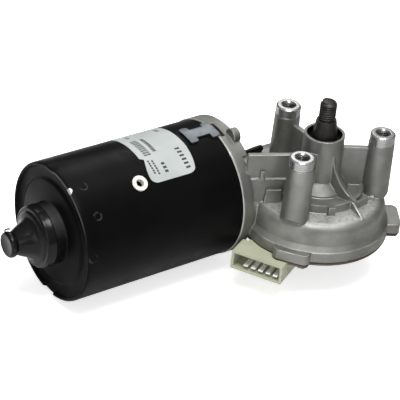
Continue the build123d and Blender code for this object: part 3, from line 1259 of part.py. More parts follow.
vent_axis_z = TUNNEL_TOP_Z + VENT_RISE
with BuildPart() as vent_spout:
    with BuildSketch(Plane.XY.offset(TUNNEL_TOP_Z - VENT_DEPTH)):
        with Locations((VENT_X, CENTRE_DISTANCE)):
            Circle(VENT_STEM_RADIUS)
    extrude(amount=VENT_DEPTH + VENT_RISE)
    vent_section = Plane(origin=(0, CENTRE_DISTANCE, vent_axis_z), x_dir=(1, 0, 0), z_dir=(0, -1, 0))
    with BuildSketch(vent_section):
        with BuildLine():
            Polyline(
                (VENT_X + VENT_RADIUS, 0),
                (VENT_X + VENT_RADIUS, VENT_RADIUS - 0.6),
                (VENT_X + VENT_RADIUS - 0.6, VENT_RADIUS),
                (VENT_X - VENT_RADIUS, VENT_RADIUS),
                (VENT_X - VENT_LENGTH, VENT_TIP_RADIUS),
                (VENT_X - VENT_LENGTH, 0),
                close=True,
            )
        make_face()
    revolve(axis=Axis((0, CENTRE_DISTANCE, vent_axis_z), (1, 0, 0)))
pieces["vent_spout"] = vent_spout

# ------------------------------------------------------------------ write one STEP per piece
os.makedirs("parts", exist_ok=True)
for label, piece in pieces.items():
    piece.part.label = label
    export_step(piece.part, f"parts/{label}.step")
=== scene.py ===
"""Visual model of a heavy-vehicle wiper motor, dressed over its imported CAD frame.

The frame is in metres: +Z runs up the output shaft, the origin lies in the plane of the three
mounting-post faces, and +X runs along the motor shaft from the nose of the can to the gearbox.
Profiles and rows of numbers are in millimetres and degrees; an angle about the motor axis runs
from +Y towards +Z.
"""

from __future__ import annotations

import json
import logging
import math
from dataclasses import dataclass
from enum import Enum
from functools import reduce
from typing import Callable

import bmesh
import bpy
from mathutils import Matrix, Vector

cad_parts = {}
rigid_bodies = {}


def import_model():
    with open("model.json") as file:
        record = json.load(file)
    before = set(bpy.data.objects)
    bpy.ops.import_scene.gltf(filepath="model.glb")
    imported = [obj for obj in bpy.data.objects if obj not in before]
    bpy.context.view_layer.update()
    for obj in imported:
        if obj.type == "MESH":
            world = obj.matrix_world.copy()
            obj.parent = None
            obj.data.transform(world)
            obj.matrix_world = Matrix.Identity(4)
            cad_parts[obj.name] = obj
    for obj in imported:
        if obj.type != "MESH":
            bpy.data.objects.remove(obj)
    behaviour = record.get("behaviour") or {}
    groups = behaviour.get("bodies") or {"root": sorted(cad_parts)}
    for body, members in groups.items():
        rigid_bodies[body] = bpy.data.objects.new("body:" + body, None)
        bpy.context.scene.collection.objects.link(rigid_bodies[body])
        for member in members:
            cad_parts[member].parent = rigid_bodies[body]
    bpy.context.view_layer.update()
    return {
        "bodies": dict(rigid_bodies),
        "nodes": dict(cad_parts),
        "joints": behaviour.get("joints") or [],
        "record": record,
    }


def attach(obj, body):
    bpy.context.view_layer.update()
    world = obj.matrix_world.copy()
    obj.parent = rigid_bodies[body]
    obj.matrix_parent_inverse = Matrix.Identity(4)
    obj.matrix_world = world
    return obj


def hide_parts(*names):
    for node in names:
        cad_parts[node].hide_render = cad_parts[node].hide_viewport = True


LOG = logging.getLogger("wiper_motor")
MM = 0.001
MOTOR_AXIS_Y = 44.0 * MM
MOTOR_AXIS_Z = -48.3 * MM
CAN_RADIUS = 41.45 * MM

Colour = tuple[float, float, float]
Point = tuple[float, float, float]
Profile = tuple[tuple[float, float], ...]
Material = bpy.types.Material
Node = bpy.types.Node
Socket = bpy.types.NodeSocket
Thing = bpy.types.Object
Tree = bpy.types.NodeTree


class Body(Enum):
    """The rigid bodies of the motor that the added pieces ride on."""

    HOUSING = "housing"
    OUTPUT = "output"


# ---------------------------------------------------------------------------- shader building


class NodeSheet:
    """Adds nodes to one node tree and wires them by socket name."""

    def __init__(self, tree: Tree) -> None:
        """Keep the tree that nodes are added to."""
        self.tree = tree

    def feed(self, socket: Socket, value: object) -> None:
        """Wire a socket to an output, or set its own value.

        Args:
            socket: The input to set.
            value: An output socket, or a value of the input's own kind.
        """
        if isinstance(value, Socket):
            self.tree.links.new(value, socket)
        elif isinstance(value, tuple) and len(value) == 3 and socket.type == "RGBA":
            socket.default_value = (*value, 1.0)
        else:
            socket.default_value = value

    def add(self, kind: str, inputs: dict | None = None, **settings: object) -> Node:
        """Add a node.

        Args:
            kind: Blender's node type, such as "ShaderNodeTexNoise".
            inputs: Socket names or numbers with a value or an output socket for each.
            settings: Properties of the node itself.

        Returns:
            The new node.
        """
        node = self.tree.nodes.new(kind)
        for key, value in settings.items():
            setattr(node, key, value)
        for key, value in (inputs or {}).items():
            self.feed(node.inputs[key], value)
        return node

    def math(self, operation: str, first: object, second: object = 0.0, clamp: bool = False) -> Socket:
        """Return the output of a math node with two inputs."""
        node = self.add("ShaderNodeMath", {0: first, 1: second}, operation=operation, use_clamp=clamp)
        return node.outputs[0]

    def product(self, *factors: object) -> Socket:
        """Return the product of several values."""
        return reduce(lambda whole, factor: self.math("MULTIPLY", whole, factor), factors)

    def largest(self, *values: object) -> Socket:
        """Return the largest of several values."""
        return reduce(lambda most, value: self.math("MAXIMUM", most, value), values)

    def over(self, value: object, level: float) -> Socket:
        """Return 1 where a value is over a level."""
        return self.math("GREATER_THAN", value, level)

    def under(self, value: object, level: float) -> Socket:
        """Return 1 where a value is under a level."""
        return self.math("LESS_THAN", value, level)

    def off(self, value: object, level: float) -> Socket:
        """Return how far a value is off a level, either way."""
        return self.math("ABSOLUTE", self.math("SUBTRACT", value, level))

    def measure(self, operation: str, first: object, second: object) -> Socket:
        """Return the number that a vector operation gives, such as a distance or a dot product."""
        return self.add("ShaderNodeVectorMath", {0: first, 1: second}, operation=operation).outputs["Value"]

    def remap(
        self, value: object, low: float, high: float, to_low: float = 0.0, to_high: float = 1.0
    ) -> Socket:
        """Return a value mapped smoothly from one range to another and held at its ends."""
        inputs = {"Value": value, "From Min": low, "From Max": high, "To Min": to_low, "To Max": to_high}
        return self.add("ShaderNodeMapRange", inputs, interpolation_type="SMOOTHSTEP").outputs["Result"]

    def mix(self, factor: object, first: object, second: object) -> Socket:
        """Return the mix of two colours."""
        return self.add("ShaderNodeMix", {0: factor, 6: first, 7: second}, data_type="RGBA").outputs[2]

    def blend(self, factor: object, first: object, second: object) -> Socket:
        """Return the mix of two numbers."""
        return self.add("ShaderNodeMix", {0: factor, 2: first, 3: second}).outputs[0]

    def combine(self, x: object = 0.0, y: object = 0.0, z: object = 0.0) -> Socket:
        """Return the vector of three numbers."""
        return self.add("ShaderNodeCombineXYZ", {0: x, 1: y, 2: z}).outputs[0]

    def split(self, vector: Socket) -> bpy.types.NodeOutputs:
        """Return the three numbers of a vector."""
        return self.add("ShaderNodeSeparateXYZ", {0: vector}).outputs

    def noise(self, vector: object, scale: object, detail: float = 4.0) -> Socket:
        """Return the factor of a noise texture on a vector."""
        return self.add("ShaderNodeTexNoise", {"Vector": vector, "Scale": scale, "Detail": detail}).outputs[0]

    def object_point(self) -> Socket:
        """Return the Object texture coordinate."""
        return self.add("ShaderNodeTexCoord").outputs["Object"]


class SurfaceGroups:
    """The shader node groups that several finishes share, each built once."""

    def __init__(self) -> None:
        """Build every group."""
        self.wear = self._edge_wear()
        self.grain = self._grain()
        self.mottle = self._mottle()
        self.turning = self._turning()

    @staticmethod
    def _start(
        name: str, inputs: dict[str, float], outputs: tuple[str, ...]
    ) -> tuple[NodeSheet, bpy.types.NodeOutputs, bpy.types.NodeInputs]:
        """Make an empty group.

        Args:
            name: The group's name.
            inputs: Names of its number inputs with their first values.
            outputs: Names of its outputs; one called Normal is a vector and the others are numbers.

        Returns:
            The sheet of the group, what comes in and what goes out.
        """
        tree = bpy.data.node_groups.new(name, "ShaderNodeTree")
        for label, value in inputs.items():
            socket = tree.interface.new_socket(name=label, in_out="INPUT", socket_type="NodeSocketFloat")
            socket.default_value = value
        for label in outputs:
            kind = "NodeSocketVector" if label == "Normal" else "NodeSocketFloat"
            tree.interface.new_socket(name=label, in_out="OUTPUT", socket_type=kind)
        sheet = NodeSheet(tree)
        return sheet, sheet.add("NodeGroupInput").outputs, sheet.add("NodeGroupOutput").inputs

    def _edge_wear(self) -> Tree:
        """Build the mask of rubbed edges, where the rounded normal leaves the true one, broken up.

        Returns:
            The group's tree.
        """
        sheet, source, sink = self._start(
            "rubbed_edges", {"Radius": 0.001, "Breakup Scale": 300.0}, ("Mask", "Normal")
        )
        rounded = sheet.add("ShaderNodeBevel", {"Radius": source["Radius"]}, samples=6).outputs[0]
        plain = sheet.add("ShaderNodeNewGeometry").outputs["Normal"]
        edge = sheet.remap(sheet.measure("DOT_PRODUCT", rounded, plain), 0.99, 0.84)
        breakup = sheet.noise(sheet.object_point(), source["Breakup Scale"], 3.0)
        sheet.feed(sink["Mask"], sheet.product(edge, sheet.remap(breakup, 0.35, 0.65, 0.10, 1.0)))
        sheet.feed(sink["Normal"], rounded)
        return sheet.tree

    def _grain(self) -> Tree:
        """Build the fine blasted or orange-peel grain of a surface, as a height, and its specks.

        Returns:
            The group's tree.
        """
        sheet, source, sink = self._start(
            "surface_grain", {"Scale": 1500.0, "Coarse Share": 0.35}, ("Height", "Specks")
        )
        point = sheet.object_point()
        fine = sheet.noise(point, source["Scale"], 2.0)
        coarse = sheet.noise(point, sheet.product(source["Scale"], 0.22), 3.0)
        sheet.feed(sink["Height"], sheet.blend(source["Coarse Share"], fine, coarse))
        sheet.feed(sink["Specks"], sheet.remap(fine, 0.56, 0.72))
        return sheet.tree

    def _mottle(self) -> Tree:
        """Build a slow, cloudy variation between two values.

        Returns:
            The group's tree.
        """
        sheet, source, sink = self._start(
            "cloudy_variation", {"Scale": 60.0, "Low": 0.0, "High": 1.0}, ("Value",)
        )
        cloud = sheet.noise(sheet.object_point(), source["Scale"], 5.0)
        inputs = {"Value": cloud, "From Min": 0.32, "From Max": 0.68}
        inputs |= {"To Min": source["Low"], "To Max": source["High"]}
        sheet.feed(sink["Value"], sheet.add("ShaderNodeMapRange", inputs).outputs["Result"])
        return sheet.tree

    def _turning(self) -> Tree:
        """Build fine lathe rings along a coordinate, as a height.

        Returns:
            The group's tree.
        """
        sheet, source, sink = self._start("turned_rings", {"Coordinate": 0.0, "Spacing": 0.0003}, ("Height",))
        turns = sheet.math("DIVIDE", source["Coordinate"], source["Spacing"])
        inputs = {"W": sheet.product(turns, 0.37), "Scale": 1.0}
        wobble = sheet.add("ShaderNodeTexNoise", inputs, noise_dimensions="1D")
        wave = sheet.math("SINE", sheet.product(turns, 2 * math.pi))
        lifted = sheet.math("ADD", sheet.product(wave, 0.5), 0.5)
        sheet.feed(sink["Height"], sheet.product(lifted, wobble.outputs[0]))
        return sheet.tree


class MaterialSheet(NodeSheet):
    """One material's own node tree, with its Principled BSDF and output."""

    def __init__(self, name: str, groups: SurfaceGroups) -> None:
        """Start a material with an empty Principled BSDF.

        Args:
            name: The material's name.
            groups: The shared shader groups.
        """
        self.material = bpy.data.materials.new(name)
        self.material.use_nodes = True
        super().__init__(self.material.node_tree)
        self.tree.nodes.clear()
        self.groups = groups
        self.shader = self.add("ShaderNodeBsdfPrincipled")
        self.add("ShaderNodeOutputMaterial", {"Surface": self.shader.outputs[0]})

    def grain(self, scale: float, coarse: float = 0.35) -> bpy.types.NodeOutputs:
        """Return the height and specks of the shared grain."""
        inputs = {"Scale": scale, "Coarse Share": coarse}
        return self.add("ShaderNodeGroup", inputs, node_tree=self.groups.grain).outputs

    def rings(self, coordinate: Socket, spacing: float) -> Socket:
        """Return the height of the shared lathe rings."""
        inputs = {"Coordinate": coordinate, "Spacing": spacing}
        return self.add("ShaderNodeGroup", inputs, node_tree=self.groups.turning).outputs["Height"]

    def wear(self, radius: float, scale: float = 300.0) -> tuple[Socket, Socket]:
        """Return the mask of rubbed edges and the normal that rounds them.

        Args:
            radius: How far the edges are rounded, in metres.
            scale: Scale of the noise that breaks the wear up.

        Returns:
            The mask, then the normal.
        """
        inputs = {"Radius": radius, "Breakup Scale": scale}
        node = self.add("ShaderNodeGroup", inputs, node_tree=self.groups.wear)
        return node.outputs["Mask"], node.outputs["Normal"]

    def clouds(self, scale: float, low: float = 0.0, high: float = 1.0) -> Socket:
        """Return a slow variation between two values."""
        inputs = {"Scale": scale, "Low": low, "High": high}
        return self.add("ShaderNodeGroup", inputs, node_tree=self.groups.mottle).outputs["Value"]

    def bump(self, height: object, distance: float, normal: Socket | None = None) -> Socket:
        """Return a normal bumped by a height, where 1 stands for a distance in metres."""
        inputs = {"Height": height, "Distance": distance} | ({} if normal is None else {"Normal": normal})
        return self.add("ShaderNodeBump", inputs).outputs[0]

    def principled(self, **values: object) -> Material:
        """Feed sockets of the Principled BSDF, underscores for spaces, and return the material.

        Args:
            values: Names of the shader's inputs with a value or an output socket for each.

        Returns:
            The finished material.
        """
        for key, value in values.items():
            self.feed(self.shader.inputs[key.replace("_", " ")], value)
        return self.material


# ---------------------------------------------------------------------------- finishes


@dataclass(frozen=True)
class MetalFinish:
    """A bare, plated or blackened metal with grain, clouds and rubbed edges."""

    name: str
    base: Colour
    shade: Colour
    edge: Colour
    roughness: float = 0.38
    metallic: float = 1.0

    def build(self, groups: SurfaceGroups) -> Material:
        """Return the finished material.

        Args:
            groups: The shared shader groups.

        Returns:
            The material, with its nodes.
        """
        sheet = MaterialSheet(self.name, groups)
        worn, rounded = sheet.wear(0.5 * MM)
        tone = sheet.mix(sheet.clouds(90.0), self.base, self.shade)
        return sheet.principled(
            Base_Color=sheet.mix(worn, tone, self.edge),
            Metallic=self.metallic,
            Roughness=sheet.clouds(160.0, self.roughness * 0.85, self.roughness * 1.2),
            Normal=sheet.bump(sheet.grain(1800.0)["Height"], 0.03 * MM, rounded),
        )


@dataclass(frozen=True)
class MouldedFinish:
    """A moulded plastic or rubber with a fine texture and slow colour variation."""

    name: str
    base: Colour
    shade: Colour
    roughness: float = 0.5
    specular: float = 0.4
    grain_depth: float = 0.04 * MM
    coat: float = 0.0

    def build(self, groups: SurfaceGroups) -> Material:
        """Return the finished material.

        Args:
            groups: The shared shader groups.

        Returns:
            The material, with its nodes.
        """
        sheet = MaterialSheet(self.name, groups)
        return sheet.principled(
            Base_Color=sheet.mix(sheet.clouds(70.0), self.base, self.shade),
            Roughness=sheet.clouds(120.0, self.roughness * 0.85, min(1.0, self.roughness * 1.15)),
            Specular_IOR_Level=self.specular,
            Coat_Weight=self.coat,
            Normal=sheet.bump(sheet.grain(1200.0, 0.5)["Height"], self.grain_depth),
        )


@dataclass(frozen=True)
class CastHousingFinish:
    """Die-cast aluminium: blasted grey skin, dark specks, rubbed edges lightened partly as wear and partly as
    painted edge highlight, a painted highlight on the roof's shoulder, painted shade in the post holes, a
    near-black bore and machined faces.
    """

    name: str = "die_cast_aluminium"
    skin: Colour = (0.27, 0.27, 0.252)
    dull: Colour = (0.165, 0.165, 0.152)
    worn_and_highlight: Colour = (0.60, 0.60, 0.58)
    machined: Colour = (0.40, 0.40, 0.40)
    bore_black: Colour = (0.012, 0.012, 0.011)
    land_height: float = -6.35 * MM
    land_reach: tuple[float, float] = (20.0 * MM, 46.0 * MM)
    thread_pitch: float = 1.25 * MM
    flange_face: float = -51.2 * MM
    flange_reach: float = 45.5 * MM
    bore_radius: float = 10.9 * MM
    bore_top: float = -1.9 * MM
    post_joint: float = -33.6 * MM
    post_circle: float = 35.0 * MM
    countersink: float = 4.3 * MM
    edge_radius: float = 1.1 * MM
    roof_height: float = -41.0 * MM
    roof_fall: tuple[float, float] = (23.0 * MM, 35.5 * MM)
    roof_drop: float = 6.0 * MM
    highlight_start: tuple[float, float] = (24.0 * MM, 29.0 * MM)
    highlight_end: tuple[float, float] = (36.0 * MM, 40.0 * MM)

    def build(self, groups: SurfaceGroups) -> Material:
        """Return the finished material.

        Args:
            groups: The shared shader groups.

        Returns:
            The material, with its nodes.
        """
        sheet = MaterialSheet(self.name, groups)
        point = sheet.object_point()
        along, across, height = sheet.split(point)
        squares = sheet.math("ADD", sheet.product(along, along), sheet.product(across, across))
        reach = sheet.math("SQRT", squares)
        plain = sheet.add("ShaderNodeNewGeometry").outputs["Normal"]
        facing = sheet.split(plain)
        off_roof = sheet.off(height, self.roof_height)
        nearest, furthest = self.land_reach
        land = sheet.product(
            sheet.over(height, self.land_height), sheet.over(reach, nearest), sheet.under(reach, furthest)
        )
        machined = sheet.largest(land, self.flange(sheet, point, along, facing[0]))
        # Near black, with lower roughness, inside the hub's bore.
        in_bore = sheet.product(sheet.under(reach, self.bore_radius), sheet.under(height, self.bore_top))
        grain = sheet.grain(1500.0, 0.45)
        rings = sheet.rings(height, self.thread_pitch)
        # Rubbed edges: lightened partly as wear and partly as painted highlight on the rounded casting edges.
        rubbed, rounded = sheet.wear(self.edge_radius, 220.0)
        clear_of_joint = sheet.remap(sheet.off(height, self.post_joint), 1.0 * MM, 1.8 * MM)
        rubbed = sheet.product(rubbed, clear_of_joint, 0.6)
        cloudy = sheet.mix(sheet.clouds(55.0), self.skin, self.dull)
        stained = sheet.mix(sheet.clouds(14.0, -0.6, 0.5), cloudy, self.dull)
        specked = sheet.mix(sheet.product(grain["Specks"], 0.5), stained, self.dull)
        # Painted highlight: the shoulder round the roof is lightened towards the pale grey where it faces up.
        painted_highlight = self.shoulder_highlight(sheet, point, reach, off_roof, facing[2])
        skin = sheet.mix(sheet.largest(rubbed, painted_highlight), specked, self.worn_and_highlight)
        # Painted shade: the countersinks and holes of the posts are darkened to the dull grey, like the lathe
        # rings.
        rings_and_hole_shade = sheet.largest(rings, self.post_hole_shade(sheet, point, height))
        turned = sheet.mix(rings_and_hole_shade, self.machined, self.dull)
        relief = sheet.blend(land, grain["Height"], rings)
        soft = sheet.add("ShaderNodeMix", {0: clear_of_joint, 4: plain, 5: rounded}, data_type="VECTOR")
        fall = sheet.product(sheet.remap(reach, *self.roof_fall), sheet.under(off_roof, 0.2 * MM))
        domed = sheet.bump(fall, -self.roof_drop, soft.outputs[1])
        return sheet.principled(
            Base_Color=sheet.mix(in_bore, sheet.mix(machined, skin, turned), self.bore_black),
            Metallic=0.85,
            Roughness=sheet.blend(in_bore, sheet.blend(machined, sheet.clouds(140.0, 0.42, 0.58), 0.26), 0.22),
            Normal=sheet.bump(relief, 0.16 * MM, domed),
        )

    def flange(self, sheet: NodeSheet, point: Socket, along: Socket, facing: Socket) -> Socket:
        """Return the mask of the flange's machined face round the can.

        Args:
            sheet: The material's node sheet.
            point: The Object texture coordinate.
            along: The x of the point.
            facing: The x of the true normal.

        Returns:
            1 on the machined face and 0 elsewhere.
        """
        axis = sheet.combine(along, MOTOR_AXIS_Y, MOTOR_AXIS_Z)
        near = sheet.under(sheet.measure("DISTANCE", point, axis), self.flange_reach)
        return sheet.product(sheet.under(along, self.flange_face), near, sheet.under(facing, -0.5))

    def shoulder_highlight(
        self, sheet: NodeSheet, point: Socket, reach: Socket, off_roof: Socket, upward: Socket
    ) -> Socket:
        """Return the mask of the speckled painted highlight on the shoulder round the bowl's roof, strongest
        where it faces up.

        Args:
            sheet: The material's node sheet.
            point: The Object texture coordinate.
            reach: Distance from the output shaft's axis.
            off_roof: Height above or below the roof.
            upward: The z of the true normal.

        Returns:
            How strong the painted highlight is, from 0 to 1.
        """
        inner = sheet.remap(reach, *self.highlight_start)
        band = sheet.product(inner, sheet.remap(reach, *self.highlight_end, 1.0, 0.0))
        near_roof = sheet.remap(off_roof, 2.0 * MM, 6.0 * MM, 1.0, 0.0)
        top = sheet.product(sheet.remap(upward, 0.35, 0.8), near_roof)
        return sheet.product(band, top, sheet.remap(sheet.noise(point, 700.0), 0.30, 0.60, 0.30, 0.75))

    def post_hole_shade(self, sheet: NodeSheet, point: Socket, height: Socket) -> Socket:
        """Return the mask of painted shade in the countersinks and holes at the tops of the posts.

        Args:
            sheet: The material's node sheet.
            point: The Object texture coordinate.
            height: The z of the point.

        Returns:
            1 in the countersinks, fading to 0 at their edges.
        """
        mask: object = 0.0
        for angle in (90, 210, 330):
            turn = math.radians(angle)
            axis = sheet.combine(self.post_circle * math.cos(turn), self.post_circle * math.sin(turn), height)
            away = sheet.measure("DISTANCE", point, axis)
            near = sheet.remap(away, self.countersink, self.countersink + 0.3 * MM, 1.0, 0.0)
            mask = sheet.largest(mask, near)
        return mask


@dataclass(frozen=True)
class CanPaintFinish:
    """Satin black paint on the drawn can, with orange peel, staking marks, scuffs, rubbed edges, a bare chip
    and a painted highlight along the rim near the chip.
    """

    name: str = "black_can_paint"
    paint: Colour = (0.0018, 0.0019, 0.0018)
    faded: Colour = (0.0034, 0.0036, 0.0035)
    scuff_and_highlight: Colour = (0.14, 0.14, 0.14)
    bare: Colour = (0.46, 0.46, 0.45)
    chip: tuple[float, float] = (-158.9, 114.5)
    chip_edge: tuple[float, float] = (2.7 * MM, 3.1 * MM)
    rim_highlight_span: tuple[float, float] = (-158.65 * MM, -158.95 * MM)
    rim_highlight_reach: tuple[float, float] = (12.0 * MM, 34.0 * MM)
    mark_radius: float = 2.3 * MM
    mark_width: float = 0.9 * MM
    marks: Profile = ((-149.5, 114.1), (-148.7, 140.4), (-156.0, 172.3))

    def build(self, groups: SurfaceGroups) -> Material:
        """Return the finished material.

        Args:
            groups: The shared shader groups.

        Returns:
            The material, with its nodes.
        """
        sheet = MaterialSheet(self.name, groups)
        point = sheet.object_point()
        staked = self.staking_marks(sheet, point)
        fleck = sheet.add("ShaderNodeTexVoronoi", {"Vector": point, "Scale": 46.0, "Randomness": 1.0})
        flecks = sheet.under(fleck.outputs["Distance"], 0.014)
        rubbed, rounded = sheet.wear(0.8 * MM, 500.0)
        chip_place = motor_point(self.chip[0] * MM, 41.2 * MM, self.chip[1])
        from_chip = sheet.measure("DISTANCE", point, chip_place)
        ragged = sheet.math("ADD", from_chip, sheet.product(sheet.noise(point, 500.0), 2.0 * MM))
        chipped = sheet.remap(ragged, *self.chip_edge, 1.0, 0.0)
        # Painted highlight: a lighter grey band along the rolled rim at the end, fading away from the chip,
        # stands in for the light's line on the rim.
        rim = sheet.remap(sheet.split(point)[0], *self.rim_highlight_span)
        rim_highlight = sheet.product(rim, sheet.remap(from_chip, *self.rim_highlight_reach, 0.45, 0.0))
        # The grey mixed in here is partly wear (rubbed edges and paint flecks), partly the staking marks,
        # lightened a little as worn paint and as painted highlight on their rims, and partly the painted rim
        # highlight.
        scuffs_and_highlight = sheet.largest(
            sheet.product(rubbed, 0.30), sheet.product(flecks, 0.7), sheet.product(staked, 0.22), rim_highlight
        )
        tone = sheet.mix(sheet.clouds(30.0), self.paint, self.faded)
        peel = sheet.product(sheet.grain(700.0, 0.6)["Height"], 0.12)
        return sheet.principled(
            Base_Color=sheet.mix(chipped, sheet.mix(scuffs_and_highlight, tone, self.scuff_and_highlight), self.bare),
            Metallic=sheet.product(chipped, 0.8),
            Roughness=sheet.clouds(90.0, 0.30, 0.42),
            Specular_IOR_Level=0.04,
            Normal=sheet.bump(sheet.math("ADD", peel, staked), 0.4 * MM, rounded),
        )

    def staking_marks(self, sheet: NodeSheet, point: Socket) -> Socket:
        """Return the mask of the broken rings that the staking tool left near the can's end.

        Args:
            sheet: The material's node sheet.
            point: The Object texture coordinate.

        Returns:
            How deep the marks are, from 0 to 1.
        """
        rings: object = 0.0
        for x, angle in self.marks:
            away = sheet.measure("DISTANCE", point, motor_point(x * MM, CAN_RADIUS, angle))
            ring = sheet.remap(sheet.off(away, self.mark_radius), 0.0, self.mark_width, 1.0, 0.0)
            rings = sheet.largest(rings, ring)
        return sheet.product(rings, sheet.remap(sheet.noise(point, 260.0), 0.44, 0.62))


@dataclass(frozen=True)
class LaminatedFinish:
    """Stacked steel sheets, seen as fine lines across the motor shaft."""

    name: str = "laminated_steel"
    sheet_thickness: float = 0.5 * MM
    groove: Colour = (0.20, 0.20, 0.21)
    edge: Colour = (0.42, 0.42, 0.43)

    def build(self, groups: SurfaceGroups) -> Material:
        """Return the finished material.

        Args:
            groups: The shared shader groups.

        Returns:
            The material, with its nodes.
        """
        sheet = MaterialSheet(self.name, groups)
        rings = sheet.rings(sheet.split(sheet.object_point())[0], self.sheet_thickness)
        return sheet.principled(
            Base_Color=sheet.mix(rings, self.groove, self.edge),
            Metallic=0.9,
            Roughness=sheet.clouds(200.0, 0.35, 0.5),
            Normal=sheet.bump(rings, 0.08 * MM),
        )


def grey(tone: float) -> Colour:
    """Return a neutral grey."""
    return (tone, tone, tone)


CAST = CastHousingFinish()
CAN_PAINT = CanPaintFinish()
LAMINATED = LaminatedFinish()
STEEL_BRIGHT = MetalFinish("ground_steel", (0.55, 0.55, 0.56), (0.42, 0.42, 0.43), grey(0.80), 0.24)
ZINC = MetalFinish("zinc_plate", (0.15, 0.165, 0.17), (0.11, 0.12, 0.13), (0.38, 0.40, 0.41), 0.40)
ZINC_DULL = MetalFinish("dull_zinc_plate", (0.16, 0.15, 0.14), (0.10, 0.095, 0.09), grey(0.30), 0.5)
BLACK_OXIDE = MetalFinish(
    "black_oxide", (0.030, 0.028, 0.026), (0.018, 0.017, 0.016), (0.16, 0.15, 0.14), 0.42, 0.7
)
TIN = MetalFinish("bright_tin", (0.92, 0.92, 0.90), (0.84, 0.84, 0.82), (0.95, 0.95, 0.94), 0.3, 0.25)
MACHINED = MetalFinish(
    "machined_aluminium", (0.52, 0.52, 0.51), (0.34, 0.34, 0.335), (0.70, 0.70, 0.69), 0.35, 0.5
)
BRONZE = MetalFinish("sintered_bronze", (0.50, 0.34, 0.16), (0.38, 0.25, 0.11), (0.66, 0.48, 0.26), 0.5)
COPPER = MetalFinish("copper", (0.70, 0.33, 0.17), (0.55, 0.22, 0.10), (0.85, 0.50, 0.30), 0.35)
FERRITE = MetalFinish("ferrite", (0.055, 0.055, 0.06), (0.035, 0.035, 0.04), grey(0.10), 0.6, 0.0)
CARBON = MetalFinish("brush_carbon", (0.05, 0.048, 0.045), grey(0.03), (0.16, 0.12, 0.09), 0.5, 0.3)
IVORY = MouldedFinish("ivory_plastic", (0.42, 0.43, 0.32), (0.36, 0.37, 0.26), 0.42, 0.45)
EYELET = MouldedFinish("eyelet_plastic", (0.78, 0.77, 0.70), (0.68, 0.67, 0.58), 0.4)
NYLON = MouldedFinish("greased_nylon", (0.75, 0.73, 0.63), (0.66, 0.62, 0.48), 0.35, coat=0.3)
RUBBER = MouldedFinish("black_rubber", grey(0.003), grey(0.005), 0.22, 0.16, 0.01 * MM)
GASKET = MouldedFinish("brown_gasket", (0.060, 0.036, 0.022), (0.035, 0.022, 0.014), 0.7, 0.2)
BOARD = MouldedFinish("phenolic_board", (0.22, 0.12, 0.05), (0.16, 0.085, 0.035))
FOIL = MouldedFinish("label_foil", (0.41, 0.43, 0.42), (0.34, 0.365, 0.36), 0.5, 0.3, 0.01 * MM)
INK = MouldedFinish("label_ink", (0.03, 0.03, 0.035), (0.05, 0.05, 0.055), 0.5, grain_depth=0.01 * MM)

Finish = MetalFinish | MouldedFinish | CastHousingFinish | CanPaintFinish | LaminatedFinish


class Finishes:
    """Builds each finish once and gives it by name."""

    def __init__(self) -> None:
        """Build the shared groups."""
        self.groups = SurfaceGroups()
        self._made: dict[str, Material] = {}

    def material(self, finish: Finish) -> Material:
        """Return the material of a finish, made on first use.

        Args:
            finish: The finish to look up.

        Returns:
            Its material, shared by all pieces that have the finish.
        """
        if finish.name not in self._made:
            self._made[finish.name] = finish.build(self.groups)
        return self._made[finish.name]


# ---------------------------------------------------------------------------- mesh helpers


def motor_point(x: float, radius: float, angle: float) -> Point:
    """Return the point at x, a radius and an angle in degrees about the motor axis."""
    turn = math.radians(angle)
    return (x, MOTOR_AXIS_Y + radius * math.cos(turn), MOTOR_AXIS_Z + radius * math.sin(turn))


def round_motor(radius: float, turn: float, x: float) -> Point:
    """Return the point at a radius, an angle in radians and x about the motor axis."""
    return motor_point(x, radius, math.degrees(turn))


def linked_object(name: str, mesh: bpy.types.Mesh) -> Thing:
    """Return a new object at the origin that holds a mesh.

    Args:
        name: The object's name.
        mesh: The mesh it holds.

    Returns:
        The new object.
    """
    thing = bpy.data.objects.new(name, mesh)
    bpy.context.scene.collection.objects.link(thing)
    return thing


def mesh_object(name: str, points: list[Point], faces: list[tuple[int, ...]], smooth: bool = True) -> Thing:
    """Return a new mesh object at the origin.

    Args:
        name: The object's name.
        points: Vertices in metres.
        faces: Vertex numbers, counter-clockwise seen from outside.
        smooth: Whether the faces are shaded smooth.

    Returns:
        The new object.
    """
    mesh = bpy.data.meshes.new(name)
    mesh.from_pydata(points, [], faces)
    mesh.validate()
    mesh.polygons.foreach_set("use_smooth", [smooth] * len(mesh.polygons))
    return linked_object(name, mesh)


def lofted_mesh(name: str, rings: list[list[Point]], ends: bool = True, smooth: bool = True) -> Thing:
    """Return a mesh through rings of points, merged where points meet, with its faces outwards.

    Args:
        name: The object's name.
        rings: Rings of as many points each, in metres, from one end to the other.
        ends: Whether the first and the last ring are closed, each by a strip across it.
        smooth: Whether the faces are shaded smooth.

    Returns:
        The new object.
    """
    count = len(rings[0])
    points = [point for ring in rings for point in ring]
    last = len(points) - count
    faces = [
        (low + side, low + after, low + count + after, low + count + side)
        for low in range(0, last, count)
        for side, after in zip(range(count), [*range(1, count), 0])
    ]
    if ends:
        faces += [
            (low + side, low + side + 1, low + count - 2 - side, low + count - 1 - side)
            for low in (0, last)
            for side in range(count // 2 - 1)
        ]
    thing = mesh_object(name, points, faces, smooth)
    shape = bmesh.new()
    shape.from_mesh(thing.data)
    bmesh.ops.remove_doubles(shape, verts=shape.verts, dist=1e-7)
    bmesh.ops.recalc_face_normals(shape, faces=shape.faces)
    shape.to_mesh(thing.data)
    shape.free()
    return thing


